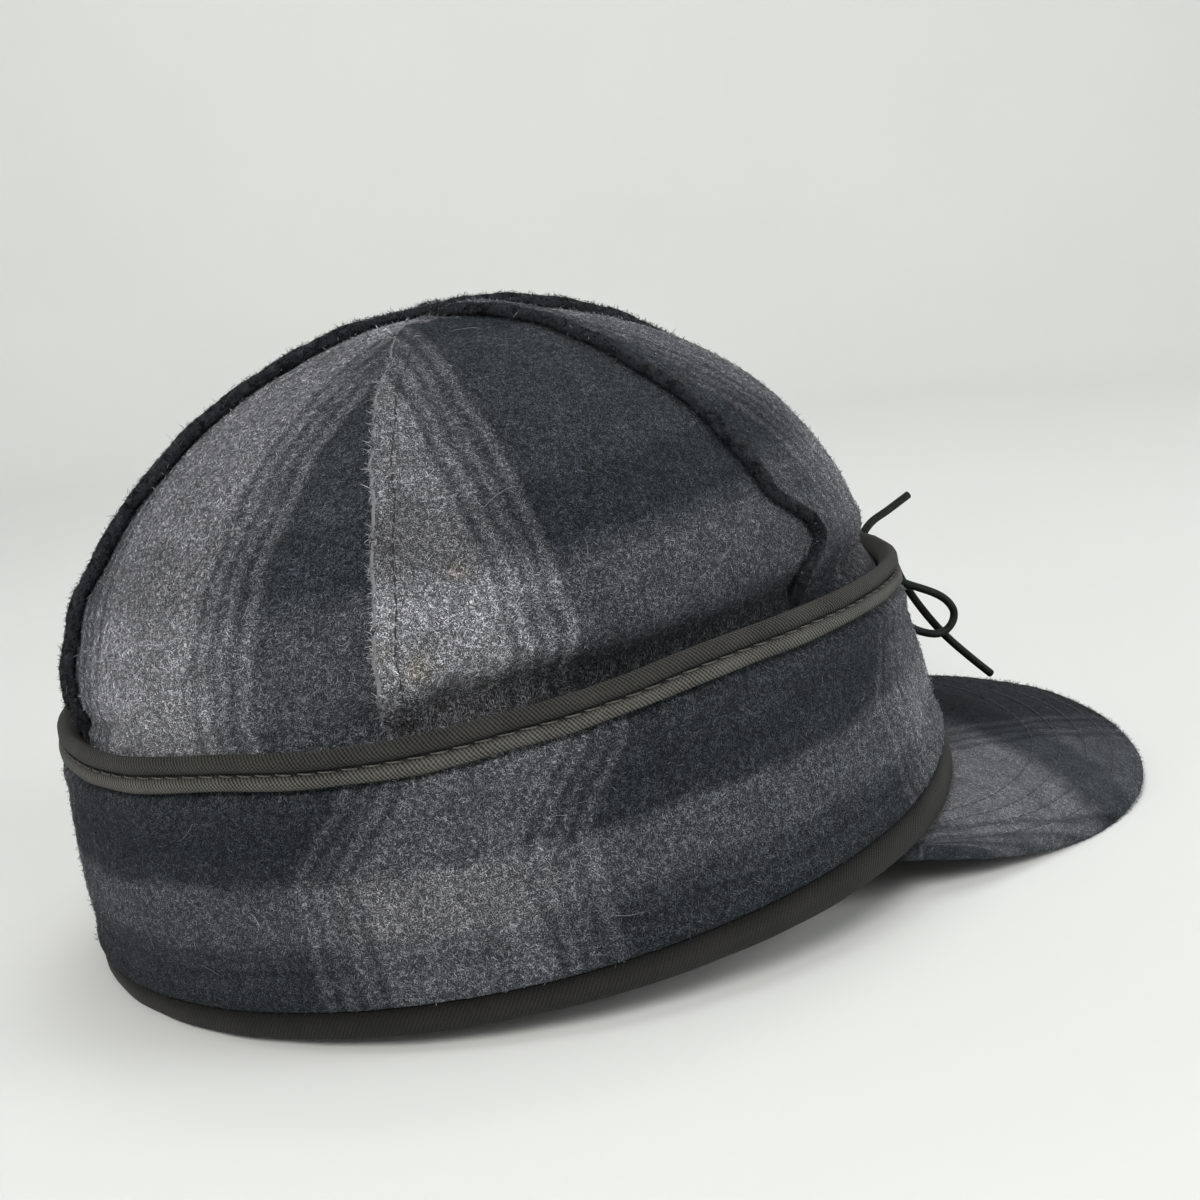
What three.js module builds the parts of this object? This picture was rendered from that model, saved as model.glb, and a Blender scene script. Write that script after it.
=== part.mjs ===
// Wool cap with a six-panel crown, a turned-up earband tied at the front and an arched bill.
// Millimetres, +Z up. The bill points to -Y and the wearer's right is -X.
// Angles run round the cap from the front centre towards the wearer's right.
import * as THREE from "three";

const degree = Math.PI / 180;
const gap = 0.3;

// Cloth
const woolThickness = 2;
const twillThickness = 0.8;

// Crown: a dome that is nearly an ellipsoid, over an upright wall inside the earband
const crownSide = 86;
const crownLength = 100.2;
const crownShift = 5.7;
const crownLean = -1.9;
const domeBase = 47.6;
const domeRise = 83.6;
const domePower = 1.96;
const domeStep = 9;
const tipAngle = 89.2;
const hemHeight = 3.4;
const wallInset = 3.8;
const tuckLow = 61;
const tuckHigh = 72;
const panelFullness = 2;
const panelCount = 6;
const panelMiddleColumns = 6;

// Each seam's raw edge lies over its neighbour; the lap fades out behind the earband.
const lapRise = woolThickness + gap;
const lapWidth = 5.5;
const lapHidden = 4.5;
const lapSlope = 5;
const lapShare = 0.22;
const buttGap = 0.35;
const lapFadeLow = 62;
const lapFadeFull = 65.5;
const lapHiddenFull = 69;

// Earband: three level rings that its outer face passes through
const bandRings = [
  { at: 0, front: 103.8, back: 106.4, side: 97.2, shift: 0.85, height: 2.6 },
  { at: 0.5, front: 103.2, back: 106.6, side: 93.6, shift: 1.9, height: 32.1 },
  { at: 1, front: 101.4, back: 100.3, side: 85.3, shift: 2.9, height: 61.6 },
];
const frontDip = 7.5;
const bandSteps = 60;
const bandRows = 6;

// Sections of the two twill bindings: out from the earband's face, up from its edge
const casingSection = [
  { out: 0.3, up: -9.2 },
  { out: 1.2, up: -9.2 },
  { out: 1.3, up: -4.9 },
  { out: 2.2, up: -3 },
  { out: 1.9, up: -0.9 },
  { out: 0.5, up: 0 },
  { out: -2, up: -0.1 },
  { out: -3.1, up: -1 },
  { out: -3.1, up: -8.6 },
  { out: -2.3, up: -8.6 },
  { out: -2.3, up: -1.1 },
  { out: 0.3, up: -1.1 },
];
const rimSection = [
  { out: 0.3, up: 6.6 },
  { out: 1, up: 6.6 },
  { out: 1.2, up: 1.2 },
  { out: 0.5, up: -0.7 },
  { out: -2.4, up: -0.7 },
  { out: -3.1, up: 0.6 },
  { out: -3.1, up: 6 },
  { out: -2.3, up: 6 },
  { out: -2.3, up: 0.3 },
  { out: 0.3, up: 0.3 },
];
const casingWoolInset = 1.4;
const rimWoolInset = 0.6;

// Bill: its outer edge from the front centre to the corner, mirrored to the other side
const billThickness = 3.6;
const billEdgeThickness = 2.2;
const billCamber = 2.4;
const billRootInset = 3.4;
const billRootHeight = -0.3;
const billEdge = [
  { rootAngle: 0, side: 0, forward: 162.8, drop: 14.3 },
  { rootAngle: 13, side: 31.5, forward: 157.8, drop: 15.3 },
  { rootAngle: 24, side: 53.3, forward: 147, drop: 16.6 },
  { rootAngle: 34, side: 69.3, forward: 130.2, drop: 17.4 },
  { rootAngle: 44, side: 79.3, forward: 109, drop: 16.2 },
  { rootAngle: 52, side: 83.6, forward: 86, drop: 11.8 },
  { rootAngle: 57, side: 85.2, forward: 68, drop: 6 },
  { rootAngle: 60, side: 84.2, forward: 56, drop: 1.6 },
];
const billColumns = 30;
const billAcross = [0, 0.3, 0.6, 0.85, 0.97, 1];

// Tie: a waxed cord from each side of the earband's front, in a bow
const cordDiameter = 2.2;
const cordSides = 8;
const cordStep = 1.6 * cordDiameter;
const knotCentre = [0, -109, 43.5];
const knotRadii = [4.3, 3.2, 3.9];
const tieRoutes = {
  right: {
    lead: [[-8.5, -104.4, 49.4], [-7.3, -106.1, 48.8], [-5.6, -107.8, 47]],
    loop: [
      [-4.8, -111.9, 36.6], [-6.3, -115, 33.8], [-7.8, -119, 31.4], [-8.8, -122.4, 29.2],
      [-9.4, -125.2, 26.6], [-9.8, -126.8, 23.4], [-9.8, -126.2, 20.6], [-9.8, -124, 18.8],
      [-9.7, -121, 18.3], [-9.4, -117.4, 19.4], [-8.6, -113, 22.2], [-7, -109.4, 27.2],
      [-5, -107.2, 32.6],
    ],
    end: [
      [-1.5, -114.6, 41.2], [-2, -115.4, 38.6], [-2.8, -116, 35], [-3.7, -117.6, 30.4],
      [-4.7, -120.8, 23.8], [-5.5, -126, 15.6], [-6, -133, 7.2], [-6.2, -139.2, 0.4],
    ],
  },
  left: {
    lead: [[8.5, -104.4, 49.4], [7.4, -106.1, 48.7], [5.6, -107.8, 47]],
    loop: [
      [5, -112, 38.6], [8, -114.2, 36.8], [12, -116.8, 35], [16.4, -119, 32.6], [20, -120.1, 29.4],
      [21.7, -119.7, 25.4], [20.7, -118.1, 22], [17.4, -115.8, 20.2], [13, -113.1, 21.4],
      [9, -110.5, 25.8], [5.8, -108.2, 32], [3.4, -106.8, 38.4],
    ],
    end: [[1.9, -108.8, 48], [2.4, -113, 50.9], [3.2, -119, 52.3], [4.2, -127.4, 54.6]],
  },
};

// How far cloth is pressed flat where the cap stands on its rear rim and its bill's low edges
const restPress = 0.5;

const materials = {
  darkWool: new THREE.MeshStandardMaterial({ color: 0x3c434d, roughness: 0.95, metalness: 0 }),
  greyWool: new THREE.MeshStandardMaterial({ color: 0x62646d, roughness: 0.95, metalness: 0 }),
  oliveTwill: new THREE.MeshStandardMaterial({ color: 0x4b4a46, roughness: 0.85, metalness: 0 }),
  charcoalTwill: new THREE.MeshStandardMaterial({ color: 0x2e2f31, roughness: 0.85, metalness: 0 }),
  waxedCord: new THREE.MeshStandardMaterial({ color: 0x1a211d, roughness: 0.55, metalness: 0 }),
};

function clamp01(value) {
  return Math.min(1, Math.max(0, value));
}

function smoothStep(low, high, value) {
  const share = clamp01((value - low) / (high - low));
  return share * share * (3 - 2 * share);
}

function mix(a, b, share) {
  return a + (b - a) * share;
}

// The parabola through the three ring rows, in one column.
function ringValue(column, at) {
  const [low, middle, high] = bandRings.map((row) => row[column]);
  return low * (1 - at) * (1 - 2 * at) + middle * 4 * at * (1 - at) + high * at * (2 * at - 1);
}

function bandTop(angle) {
  return ringValue("height", 1) - frontDip * Math.max(0, Math.cos(angle)) ** 3;
}

// A point on the earband's outer face at an angle and a height, moved out by an offset.
function bandPoint(angle, height, out = 0) {
  const rim = ringValue("height", 0);
  const at = clamp01((height - rim) / (bandTop(angle) - rim));
  const along = Math.cos(angle) > 0 ? ringValue("front", at) : ringValue("back", at);
  const side = ringValue("side", at);
  const normal = new THREE.Vector2(-Math.sin(angle) / side, -Math.cos(angle) / along).normalize();
  return new THREE.Vector3(
    -side * Math.sin(angle) + normal.x * out,
    ringValue("shift", at) - along * Math.cos(angle) + normal.y * out,
    height,
  );
}

function domePoint(angle, height) {
  const rise = clamp01((height - domeBase) / domeRise);
  const radius = (1 - rise ** domePower) ** (1 / domePower);
  return new THREE.Vector3(
    -crownSide * radius * Math.sin(angle),
    crownShift + crownLean * rise ** 2 - crownLength * radius * Math.cos(angle),
    height,
  );
}

// The crown's outer face, before its laps: the wall below, the dome above, full between its seams.
function crownPoint(angle, height) {
  const wall = bandPoint(angle, Math.min(height, tuckLow), -wallInset).setZ(height);
  const point = wall.lerp(domePoint(angle, height), smoothStep(tuckLow, tuckHigh, height));
  const rise = clamp01((height - tuckLow) / (domeBase + domeRise - tuckLow));
  const betweenSeams = Math.sin((panelCount / 2) * angle) ** 2;
  const fullness = panelFullness * Math.sin(Math.PI * rise) * betweenSeams;
  const outward = new THREE.Vector3(point.x, point.y - crownShift, 0).normalize();
  return point.addScaledVector(outward, fullness);
}

function crownNormal(angle, height) {
  const turn = 0.02;
  const step = Math.min(0.4, (domeBase + domeRise - height) * 0.3);
  const around = crownPoint(angle + turn, height).sub(crownPoint(angle - turn, height));
  const upwards = crownPoint(angle, height + step).sub(crownPoint(angle, height - step));
  return upwards.cross(around).normalize();
}

// Heights of the rows that every panel shares, so that laps stay parallel to what they cover.
function panelHeights() {
  const heights = [hemHeight, 30, 54, lapFadeLow, lapFadeFull, lapHiddenFull];
  for (let angle = 2 * domeStep; angle < tipAngle - domeStep / 2; angle += domeStep) {
    heights.push(domeBase + domeRise * Math.sin(angle * degree) ** (2 / domePower));
  }
  heights.push(domeBase + domeRise * Math.sin(tipAngle * degree) ** (2 / domePower));
  return heights;
}

// Angle and rise of each column of a panel at one height, from its low seam to its high seam.
function panelColumns(lowSeam, highSeam, lowOver, highOver, height) {
  const middle = crownPoint((lowSeam + highSeam) / 2, height);
  const radius = Math.hypot(middle.x, middle.y - crownShift);
  const width = radius * (highSeam - lowSeam);
  const size = Math.min(1, (lapShare * width) / (lapWidth + lapSlope)) / radius;
  const rise = lapRise * smoothStep(lapFadeLow, lapFadeFull, height);
  const lapped = clamp01((height - lapFadeFull) / (lapHiddenFull - lapFadeFull));
  const hidden = mix(-buttGap / radius, lapHidden * size, lapped);
  const edge = (seam, inward, over) =>
    over
      ? [
          { angle: seam, rise },
          { angle: seam + inward * lapWidth * size, rise },
          { angle: seam + inward * (lapWidth + lapSlope) * size, rise: 0 },
        ]
      : [
          { angle: seam - inward * hidden, rise: 0 },
          { angle: seam + inward * lapWidth * size, rise: 0 },
          { angle: seam + inward * (lapWidth + lapSlope) * size, rise: 0 },
        ];
  const low = edge(lowSeam, 1, lowOver);
  const high = edge(highSeam, -1, highOver).reverse();
  const between = [];
  for (let i = 1; i < panelMiddleColumns; i++) {
    between.push({ angle: mix(low[2].angle, high[0].angle, i / panelMiddleColumns), rise: 0 });
  }
  return [...low, ...between, ...high];
}

// Below the rest plane, cloth is pressed up to it. The plane passes the rear rim and the bill's low edges.
const rearRest = bandPoint(Math.PI, ringValue("height", 0)).setZ(ringValue("height", 0) - 0.7 + restPress);
const billRest = new THREE.Vector3(0, -128, -(17.4 + billThickness / 2) + restPress);
const restTilt = Math.atan2(rearRest.z - billRest.z, rearRest.y - billRest.y);
const restNormal = new THREE.Vector3(0, -Math.sin(restTilt), Math.cos(restTilt));

function pressed(point) {
  const above = point.clone().sub(billRest).dot(restNormal);
  return above < 0 ? point.addScaledVector(restNormal, -above) : point;
}

function geometryFrom(points, faces) {
  const positions = new Float32Array(points.flatMap((point) => point.toArray()));
  const corners = faces.map(([a, b, c]) => [points[a], points[b], points[c]]);
  const volume = corners.reduce((sum, [a, b, c]) => sum + a.dot(b.clone().cross(c)), 0);
  const turned = volume < 0 ? faces.map(([a, b, c]) => [a, c, b]) : faces;
  const geometry = new THREE.BufferGeometry();
  geometry.setAttribute("position", new THREE.BufferAttribute(positions, 3));
  geometry.setIndex(turned.flat());
  geometry.computeVertexNormals();
  return geometry;
}

// A sheet with two faces, rows of equal length, closed along its four edges.
function sheetGeometry(outer, inner) {
  const rows = outer.length;
  const columns = outer[0].length;
  const points = [...outer.flat(), ...inner.flat()];
  const index = (row, column, face) => face * rows * columns + row * columns + column;
  const faces = [];
  const quad = (...corners) => {
    const [a, b, c, d] = corners.map(([row, column, face]) => index(row, column, face));
    faces.push([a, b, c], [a, c, d]);
  };
  for (let row = 0; row + 1 < rows; row++) {
    const next = row + 1;
    for (let column = 0; column + 1 < columns; column++) {
      const after = column + 1;
      quad([row, column, 0], [row, after, 0], [next, after, 0], [next, column, 0]);
      quad([row, column, 1], [next, column, 1], [next, after, 1], [row, after, 1]);
    }
    const last = columns - 1;
    quad([row, 0, 0], [next, 0, 0], [next, 0, 1], [row, 0, 1]);
    quad([row, last, 0], [row, last, 1], [next, last, 1], [next, last, 0]);
  }
  for (let column = 0; column + 1 < columns; column++) {
    const after = column + 1;
    const last = rows - 1;
    quad([0, column, 0], [0, column, 1], [0, after, 1], [0, after, 0]);
    quad([last, column, 0], [last, after, 0], [last, after, 1], [last, column, 1]);
  }
  return geometryFrom(points, faces);
}

// A closed section carried round a closed ring.
function ringGeometry(sections) {
  const size = sections[0].length;
  const faces = [];
  sections.forEach((section, step) => {
    const next = (step + 1) % sections.length;
    section.forEach((_, corner) => {
      const after = (corner + 1) % size;
      const [a, b] = [step * size + corner, step * size + after];
      const [c, d] = [next * size + after, next * size + corner];
      faces.push([a, b, c], [a, c, d]);
    });
  });
  return geometryFrom(sections.flat(), faces);
}

function ringSteps(makeSection) {
  return Array.from({ length: bandSteps }, (_, step) => makeSection((step / bandSteps) * 2 * Math.PI));
}

function crownPanelGeometry(lowSeam, highSeam, lowOver, highOver) {
  const outer = [];
  const inner = [];
  for (const height of panelHeights()) {
    const columns = panelColumns(lowSeam, highSeam, lowOver, highOver, height);
    const at = ({ angle, rise }, depth) =>
      crownPoint(angle, height).addScaledVector(crownNormal(angle, height), rise - depth);
    outer.push(columns.map((column) => at(column, 0)));
    inner.push(columns.map((column) => at(column, woolThickness)));
  }
  return sheetGeometry(outer, inner);
}

function earbandGeometry() {
  return ringGeometry(
    ringSteps((angle) => {
      const low = ringValue("height", 0) + rimWoolInset;
      const high = bandTop(angle) - casingWoolInset;
      const heights = Array.from({ length: bandRows }, (_, row) => mix(low, high, row / (bandRows - 1)));
      const outer = heights.map((height) => bandPoint(angle, height));
      const inner = heights.map((height) => bandPoint(angle, height, -woolThickness)).reverse();
      return [...outer, ...inner];
    }),
  );
}

function casingGeometry() {
  return ringGeometry(
    ringSteps((angle) => casingSection.map(({ out, up }) => bandPoint(angle, bandTop(angle) + up, out))),
  );
}

function rimBindingGeometry() {
  const rim = ringValue("height", 0);
  return ringGeometry(
    ringSteps((angle) => rimSection.map(({ out, up }) => pressed(bandPoint(angle, rim + up, out)))),
  );
}

// The bill's outer edge as a smooth curve, and the root angle that each of its points is ruled from.
function billCurve() {
  const mirrored = ({ rootAngle, side, ...row }) => ({ ...row, side: -side, rootAngle: -rootAngle });
  const rows = [...billEdge.slice(1).reverse().map(mirrored), ...billEdge];
  const edgePoint = (row) => new THREE.Vector3(-row.side, -row.forward, -row.drop);
  const edge = new THREE.CatmullRomCurve3(rows.map(edgePoint));
  const angles = new THREE.CatmullRomCurve3(rows.map((row) => new THREE.Vector3(row.rootAngle, 0, 0)));
  return { edge, angles };
}

function billGeometry() {
  const { edge, angles } = billCurve();
  const rim = ringValue("height", 0);
  const top = [];
  const bottom = [];
  for (const across of billAcross) {
    const topRow = [];
    const bottomRow = [];
    for (let column = 0; column <= billColumns; column++) {
      const along = column / billColumns;
      const root = bandPoint(angles.getPoint(along).x * degree, rim, -billRootInset).setZ(billRootHeight);
      const middle = root.lerp(edge.getPoint(along), across);
      middle.z += billCamber * 4 * across * (1 - across) * Math.sin(Math.PI * along);
      const half = mix(billThickness, billEdgeThickness, smoothStep(0.9, 1, across)) / 2;
      topRow.push(pressed(middle.clone().setZ(middle.z + half)));
      bottomRow.push(pressed(middle.clone().setZ(middle.z - half)));
    }
    top.push(topRow);
    bottom.push(bottomRow);
  }
  return sheetGeometry(top, bottom);
}

function cordGeometry(route) {
  const curve = new THREE.CatmullRomCurve3(route.map((point) => new THREE.Vector3(...point)));
  const section = new THREE.Shape();
  for (let side = 0; side < cordSides; side++) {
    const turn = (side / cordSides) * 2 * Math.PI;
    const [x, y] = [(cordDiameter / 2) * Math.cos(turn), (cordDiameter / 2) * Math.sin(turn)];
    if (side === 0) section.moveTo(x, y);
    else section.lineTo(x, y);
  }
  section.closePath();
  const steps = Math.max(3, Math.round(curve.getLength() / cordStep));
  return new THREE.ExtrudeGeometry(section, { steps, extrudePath: curve });
}

function knotGeometry() {
  const geometry = new THREE.SphereGeometry(1, 12, 8);
  geometry.scale(...knotRadii);
  geometry.rotateY(10 * degree);
  geometry.translate(...knotCentre);
  return geometry;
}

function named(name, geometry, material) {
  const mesh = new THREE.Mesh(geometry, material);
  mesh.name = name;
  return mesh;
}

// Panels in the order of their angles, with the seams where each lies over its neighbour.
const panels = [
  { name: "crown_panel_front_right", lowOver: false, highOver: true, material: materials.greyWool },
  { name: "crown_panel_side_right", lowOver: false, highOver: true, material: materials.greyWool },
  { name: "crown_panel_rear_right", lowOver: false, highOver: false, material: materials.darkWool },
  { name: "crown_panel_rear_left", lowOver: true, highOver: false, material: materials.darkWool },
  { name: "crown_panel_side_left", lowOver: true, highOver: false, material: materials.greyWool },
  { name: "crown_panel_front_left", lowOver: true, highOver: true, material: materials.darkWool },
];

const body = new THREE.Group();
panels.forEach((panel, place) => {
  const lowSeam = (place / panelCount) * 2 * Math.PI;
  const highSeam = ((place + 1) / panelCount) * 2 * Math.PI;
  const geometry = crownPanelGeometry(lowSeam, highSeam, panel.lowOver, panel.highOver);
  body.add(named(panel.name, geometry, panel.material));
});
body.add(named("earband", earbandGeometry(), materials.darkWool));
body.add(named("earband_casing", casingGeometry(), materials.oliveTwill));
body.add(named("earband_rim_binding", rimBindingGeometry(), materials.charcoalTwill));
body.add(named("bill", billGeometry(), materials.greyWool));

const tie = new THREE.Group();
for (const [side, stretches] of Object.entries(tieRoutes)) {
  for (const [stretch, route] of Object.entries(stretches)) {
    tie.add(named(`tie_cord_${side}_${stretch}`, cordGeometry(route), materials.waxedCord));
  }
}
tie.add(named("tie_knot", knotGeometry(), materials.waxedCord));

// The cap is turned nose-up until it stands, and centred over its footprint without the tie.
const cap = new THREE.Group();
cap.add(body, tie);
cap.rotation.x = -restTilt;
cap.updateMatrixWorld(true);
const bounds = new THREE.Box3().setFromObject(body, true);
const centre = bounds.getCenter(new THREE.Vector3());
cap.position.set(-centre.x, -centre.y, -bounds.min.z);

const root = new THREE.Group();
root.add(cap);

export default root;
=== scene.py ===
import math

import bpy
import numpy as np
from mathutils import Matrix, Vector


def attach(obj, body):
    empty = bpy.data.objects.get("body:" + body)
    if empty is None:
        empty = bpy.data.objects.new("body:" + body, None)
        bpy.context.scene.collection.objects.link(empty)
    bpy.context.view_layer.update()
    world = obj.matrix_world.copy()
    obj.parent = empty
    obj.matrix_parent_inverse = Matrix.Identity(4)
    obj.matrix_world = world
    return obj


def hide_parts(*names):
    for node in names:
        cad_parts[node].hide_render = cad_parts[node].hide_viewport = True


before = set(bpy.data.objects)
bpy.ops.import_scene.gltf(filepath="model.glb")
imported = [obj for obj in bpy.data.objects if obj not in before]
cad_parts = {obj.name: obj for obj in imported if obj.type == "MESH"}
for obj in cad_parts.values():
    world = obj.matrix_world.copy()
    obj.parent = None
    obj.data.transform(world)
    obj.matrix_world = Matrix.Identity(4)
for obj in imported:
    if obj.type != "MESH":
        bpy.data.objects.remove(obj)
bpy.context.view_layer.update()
dice = np.random.default_rng(7)
print("frame loaded:", len(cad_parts), "nodes")

# The cap is worked out in its own frame: millimetres, bill to -Y, wearer's right to -X,
# angles round it from the front centre towards the wearer's right. onFloor stands it in the row frame.
stance = {"noseUp": 0.0894525, "place": (0.0, 26.2382, 7.1906)}
millimetre = 0.001


def onFloor(points):
    x, y, z = np.moveaxis(np.asarray(points, float), -1, 0)
    cosine, sine = math.cos(stance["noseUp"]), math.sin(stance["noseUp"])
    turned = np.stack([x, y * cosine + z * sine, z * cosine - y * sine], -1)
    return (turned + stance["place"]) * millimetre


def turnOnly(direction):
    return onFloor(direction) / millimetre - stance["place"]


def smoothStep(low, high, value):
    share = np.clip((value - low) / (high - low), 0, 1)
    return share * share * (3 - 2 * share)


def hump(value, rise, fall):
    return smoothStep(*rise, value) * (1 - smoothStep(*fall, value))


def mix(a, b, share):
    return a + (b - a) * share


def bell(value, centre, width):
    return np.exp(-(((value - centre) / width) ** 2))


def unit(vectors):
    return vectors / np.maximum(np.linalg.norm(vectors, axis=-1, keepdims=True), 1e-9)


def runningLength(points, axis=0):
    steps = np.linalg.norm(np.diff(points, axis=axis), axis=-1)
    return np.concatenate([0 * steps.take([0], axis), np.cumsum(steps, axis)], axis)


def placesAlong(table, run, at):
    # The rows of table, which lie at the lengths run, looked up at other lengths.
    return np.stack([np.interp(at, run, column) for column in np.transpose(table)], -1)


def addObject(name, data):
    item = bpy.data.objects.new(name, data)
    bpy.context.scene.collection.objects.link(item)
    return item


# Camera
view = {
    "position": (-373.675, 145.017, 156.830),
    "right": (-0.45311298, -0.87214576, -0.18452748),
    "up": (0.13778845, -0.27302776, 0.95208728),
    "forward": (0.88074001, -0.40597735, -0.24388404),
    "lens": 50.757,
    "sensor": 36,
}


def addCamera():
    data = bpy.data.cameras.new("camera")
    data.lens = view["lens"]
    data.sensor_width = view["sensor"]
    data.clip_start = 0.01
    camera = addObject("camera", data)
    axes = [turnOnly(view["right"]), turnOnly(view["up"]), -turnOnly(view["forward"])]
    turn = Matrix([[axis[row] for axis in axes] for row in range(3)])
    camera.matrix_world = Matrix.Translation(Vector(onFloor(view["position"]))) @ turn.to_4x4()
    bpy.context.scene.camera = camera


addCamera()
print("camera placed")

# Materials


class Shader:
    # A material's node tree with short calls for the nodes that these finishes use.
    def __init__(self, name):
        self.material = bpy.data.materials.new(name)
        self.material.use_nodes = True
        self.nodes = self.material.node_tree.nodes
        self.links = self.material.node_tree.links
        self.surface = self.nodes["Principled BSDF"]

    def feed(self, socket, value):
        if isinstance(value, bpy.types.NodeSocket):
            self.links.new(value, socket)
        else:
            socket.default_value = value

    def node(self, kind, **settings):
        node = self.nodes.new(kind)
        for key, value in settings.items():
            setattr(node, key, value)
        return node

    def math(self, operation, *values, kind="ShaderNodeMath"):
        node = self.node(kind, operation=operation)
        for socket, value in zip(node.inputs, values):
            self.feed(socket, value)
        return node.outputs[0]

    def vector(self, operation, *values):
        return self.math(operation, *values, kind="ShaderNodeVectorMath")

    def scale(self, colour, factor):
        scaled = self.vector("SCALE", colour)
        self.feed(scaled.node.inputs["Scale"], factor)
        return scaled

    def mixColour(self, factor, a, b, blend="MIX"):
        node = self.node("ShaderNodeMix", data_type="RGBA", blend_type=blend)
        for place, value in ((0, factor), (6, a), (7, b)):
            self.feed(node.inputs[place], value)
        return node.outputs[2]

    def multiply(self, colour, shade):
        return self.mixColour(1.0, colour, shade, "MULTIPLY")

    def noise(self, vector, scale, detail=2.0, distortion=0.0, dimensions="3D", output="Fac"):
        node = self.node("ShaderNodeTexNoise", noise_dimensions=dimensions)
        settings = {"Vector": vector, "Scale": scale, "Detail": detail, "Distortion": distortion}
        for key, value in settings.items():
            self.feed(node.inputs[key], value)
        return node.outputs[output]

    def flatNoise(self, place, scale, detail=1.0, distortion=0.0, output="Fac"):
        return self.noise(place, scale, detail, distortion, "2D", output)

    def ramp(self, factor, stops):
        node = self.node("ShaderNodeValToRGB")
        elements = node.color_ramp.elements
        while len(elements) < len(stops):
            elements.new(0.5)
        for element, (place, shade) in zip(elements, stops):
            element.position = place
            element.color = (shade, shade, shade, 1) if np.isscalar(shade) else (*shade, 1)
        self.feed(node.inputs[0], factor)
        return node.outputs[0]

    def chart(self, distance, stops):
        # A ramp whose stops are given in millimetres.
        reach = stops[-1][0]
        return self.ramp(self.math("DIVIDE", distance, reach), [(at / reach, shade) for at, shade in stops])

    def millimetres(self):
        return self.vector("MULTIPLY", self.node("ShaderNodeUVMap", uv_map="cut").outputs[0], (1000,) * 3)

    def objectPlace(self):
        return self.node("ShaderNodeTexCoord").outputs["Object"]

    def acrossAndUp(self, place):
        parts = self.node("ShaderNodeSeparateXYZ")
        self.feed(parts.inputs[0], place)
        return parts.outputs[0], parts.outputs[1]

    def attribute(self, name):
        return self.node("ShaderNodeAttribute", attribute_name=name).outputs["Fac"]

    def finish(self, colour, settings, height=None, distance=0.0, strength=0.0):
        for key, value in {"Base Color": colour, **settings}.items():
            self.feed(self.surface.inputs[key], value)
        if height is not None:
            bump = self.node("ShaderNodeBump")
            for key, value in {"Height": height, "Distance": distance, "Strength": strength}.items():
                self.feed(bump.inputs[key], value)
            self.feed(self.surface.inputs["Normal"], bump.outputs[0])
        return self.material


# The plaid's stripes from the middle of a light block to the middle of a dark one, mirrored on
# both sides: width in millimetres and lightness, along the warp and, softer, along the weft.
plaid = {
    "stripes": [
        (16.4, 1.0, 1.0), (1.9, 0.3, 0.72), (2.7, 0.82, 0.95), (1.9, 0.22, 0.8), (2.3, 0.5, 1.0),
        (2.2, 0.08, 0.66), (2.6, 0.5, 0.4), (14.9, 0.0, 0.0), (25.1, 0.0, 0.22),
    ],
    "blend": (0.7, 2.2),
    "darkTint": (0.79, 1.0, 1.21),
    "lightTint": (0.972, 0.973, 1.035),
    "wander": 0.55,
    "drift": 1.6,
    "stain": (1.16, 0.98, 0.66, 1),
    # Painted shade by the height above the earband's top: darkest in the crown's fold just over the casing.
    "paintedFoldShade": [(0, 0.34), (3, 0.4), (8, 0.76), (14, 0.94), (17, 1.0)],
}


def stripeShade(shader, distance, weft):
    stops = []
    edge = 0.0
    for place, (width, *shades) in enumerate(plaid["stripes"]):
        blend = min(plaid["blend"][weft], width / 2)
        last = place == len(plaid["stripes"]) - 1
        start = edge + (blend if place else 0)
        edge += width
        stops += [(start, shades[weft]), (edge - (0 if last else blend), shades[weft])]
    return shader.chart(shader.math("PINGPONG", distance, edge), stops)


wool = {
    "surface": {
        "Roughness": 0.92, "Sheen Weight": 0.03, "Sheen Roughness": 0.45,
        "Sheen Tint": (0.72, 0.78, 0.9, 1), "Specular IOR Level": 0.1,
    },
    "hairs": [(0, 0.8, 0.12, 0.42), (37, 1.15, 0.15, 0.4), (81, 0.65, 0.1, 0.4)],
    "shade": [(0.0, 0.14), (0.28, 0.42), (0.55, 1.34), (1.0, 3.8)],
    "bump": 0.00032,
    "paleFibre": (0.46, 0.47, 0.50, 1),
    "insideCloud": [(0.3, (0.034, 0.038, 0.046)), (0.7, (0.062, 0.066, 0.076))],
    "insideSurface": {"Roughness": 0.95, "Sheen Weight": 0.2, "Specular IOR Level": 0.15},
}


def tinted(shade):
    # The darker a wool shade, the more its blue shows.
    share = min(1, max(0, (shade - 0.02) / 0.075))
    return (*[shade * mix(a, b, share) for a, b in zip(plaid["darkTint"], plaid["lightTint"])], 1)


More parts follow.
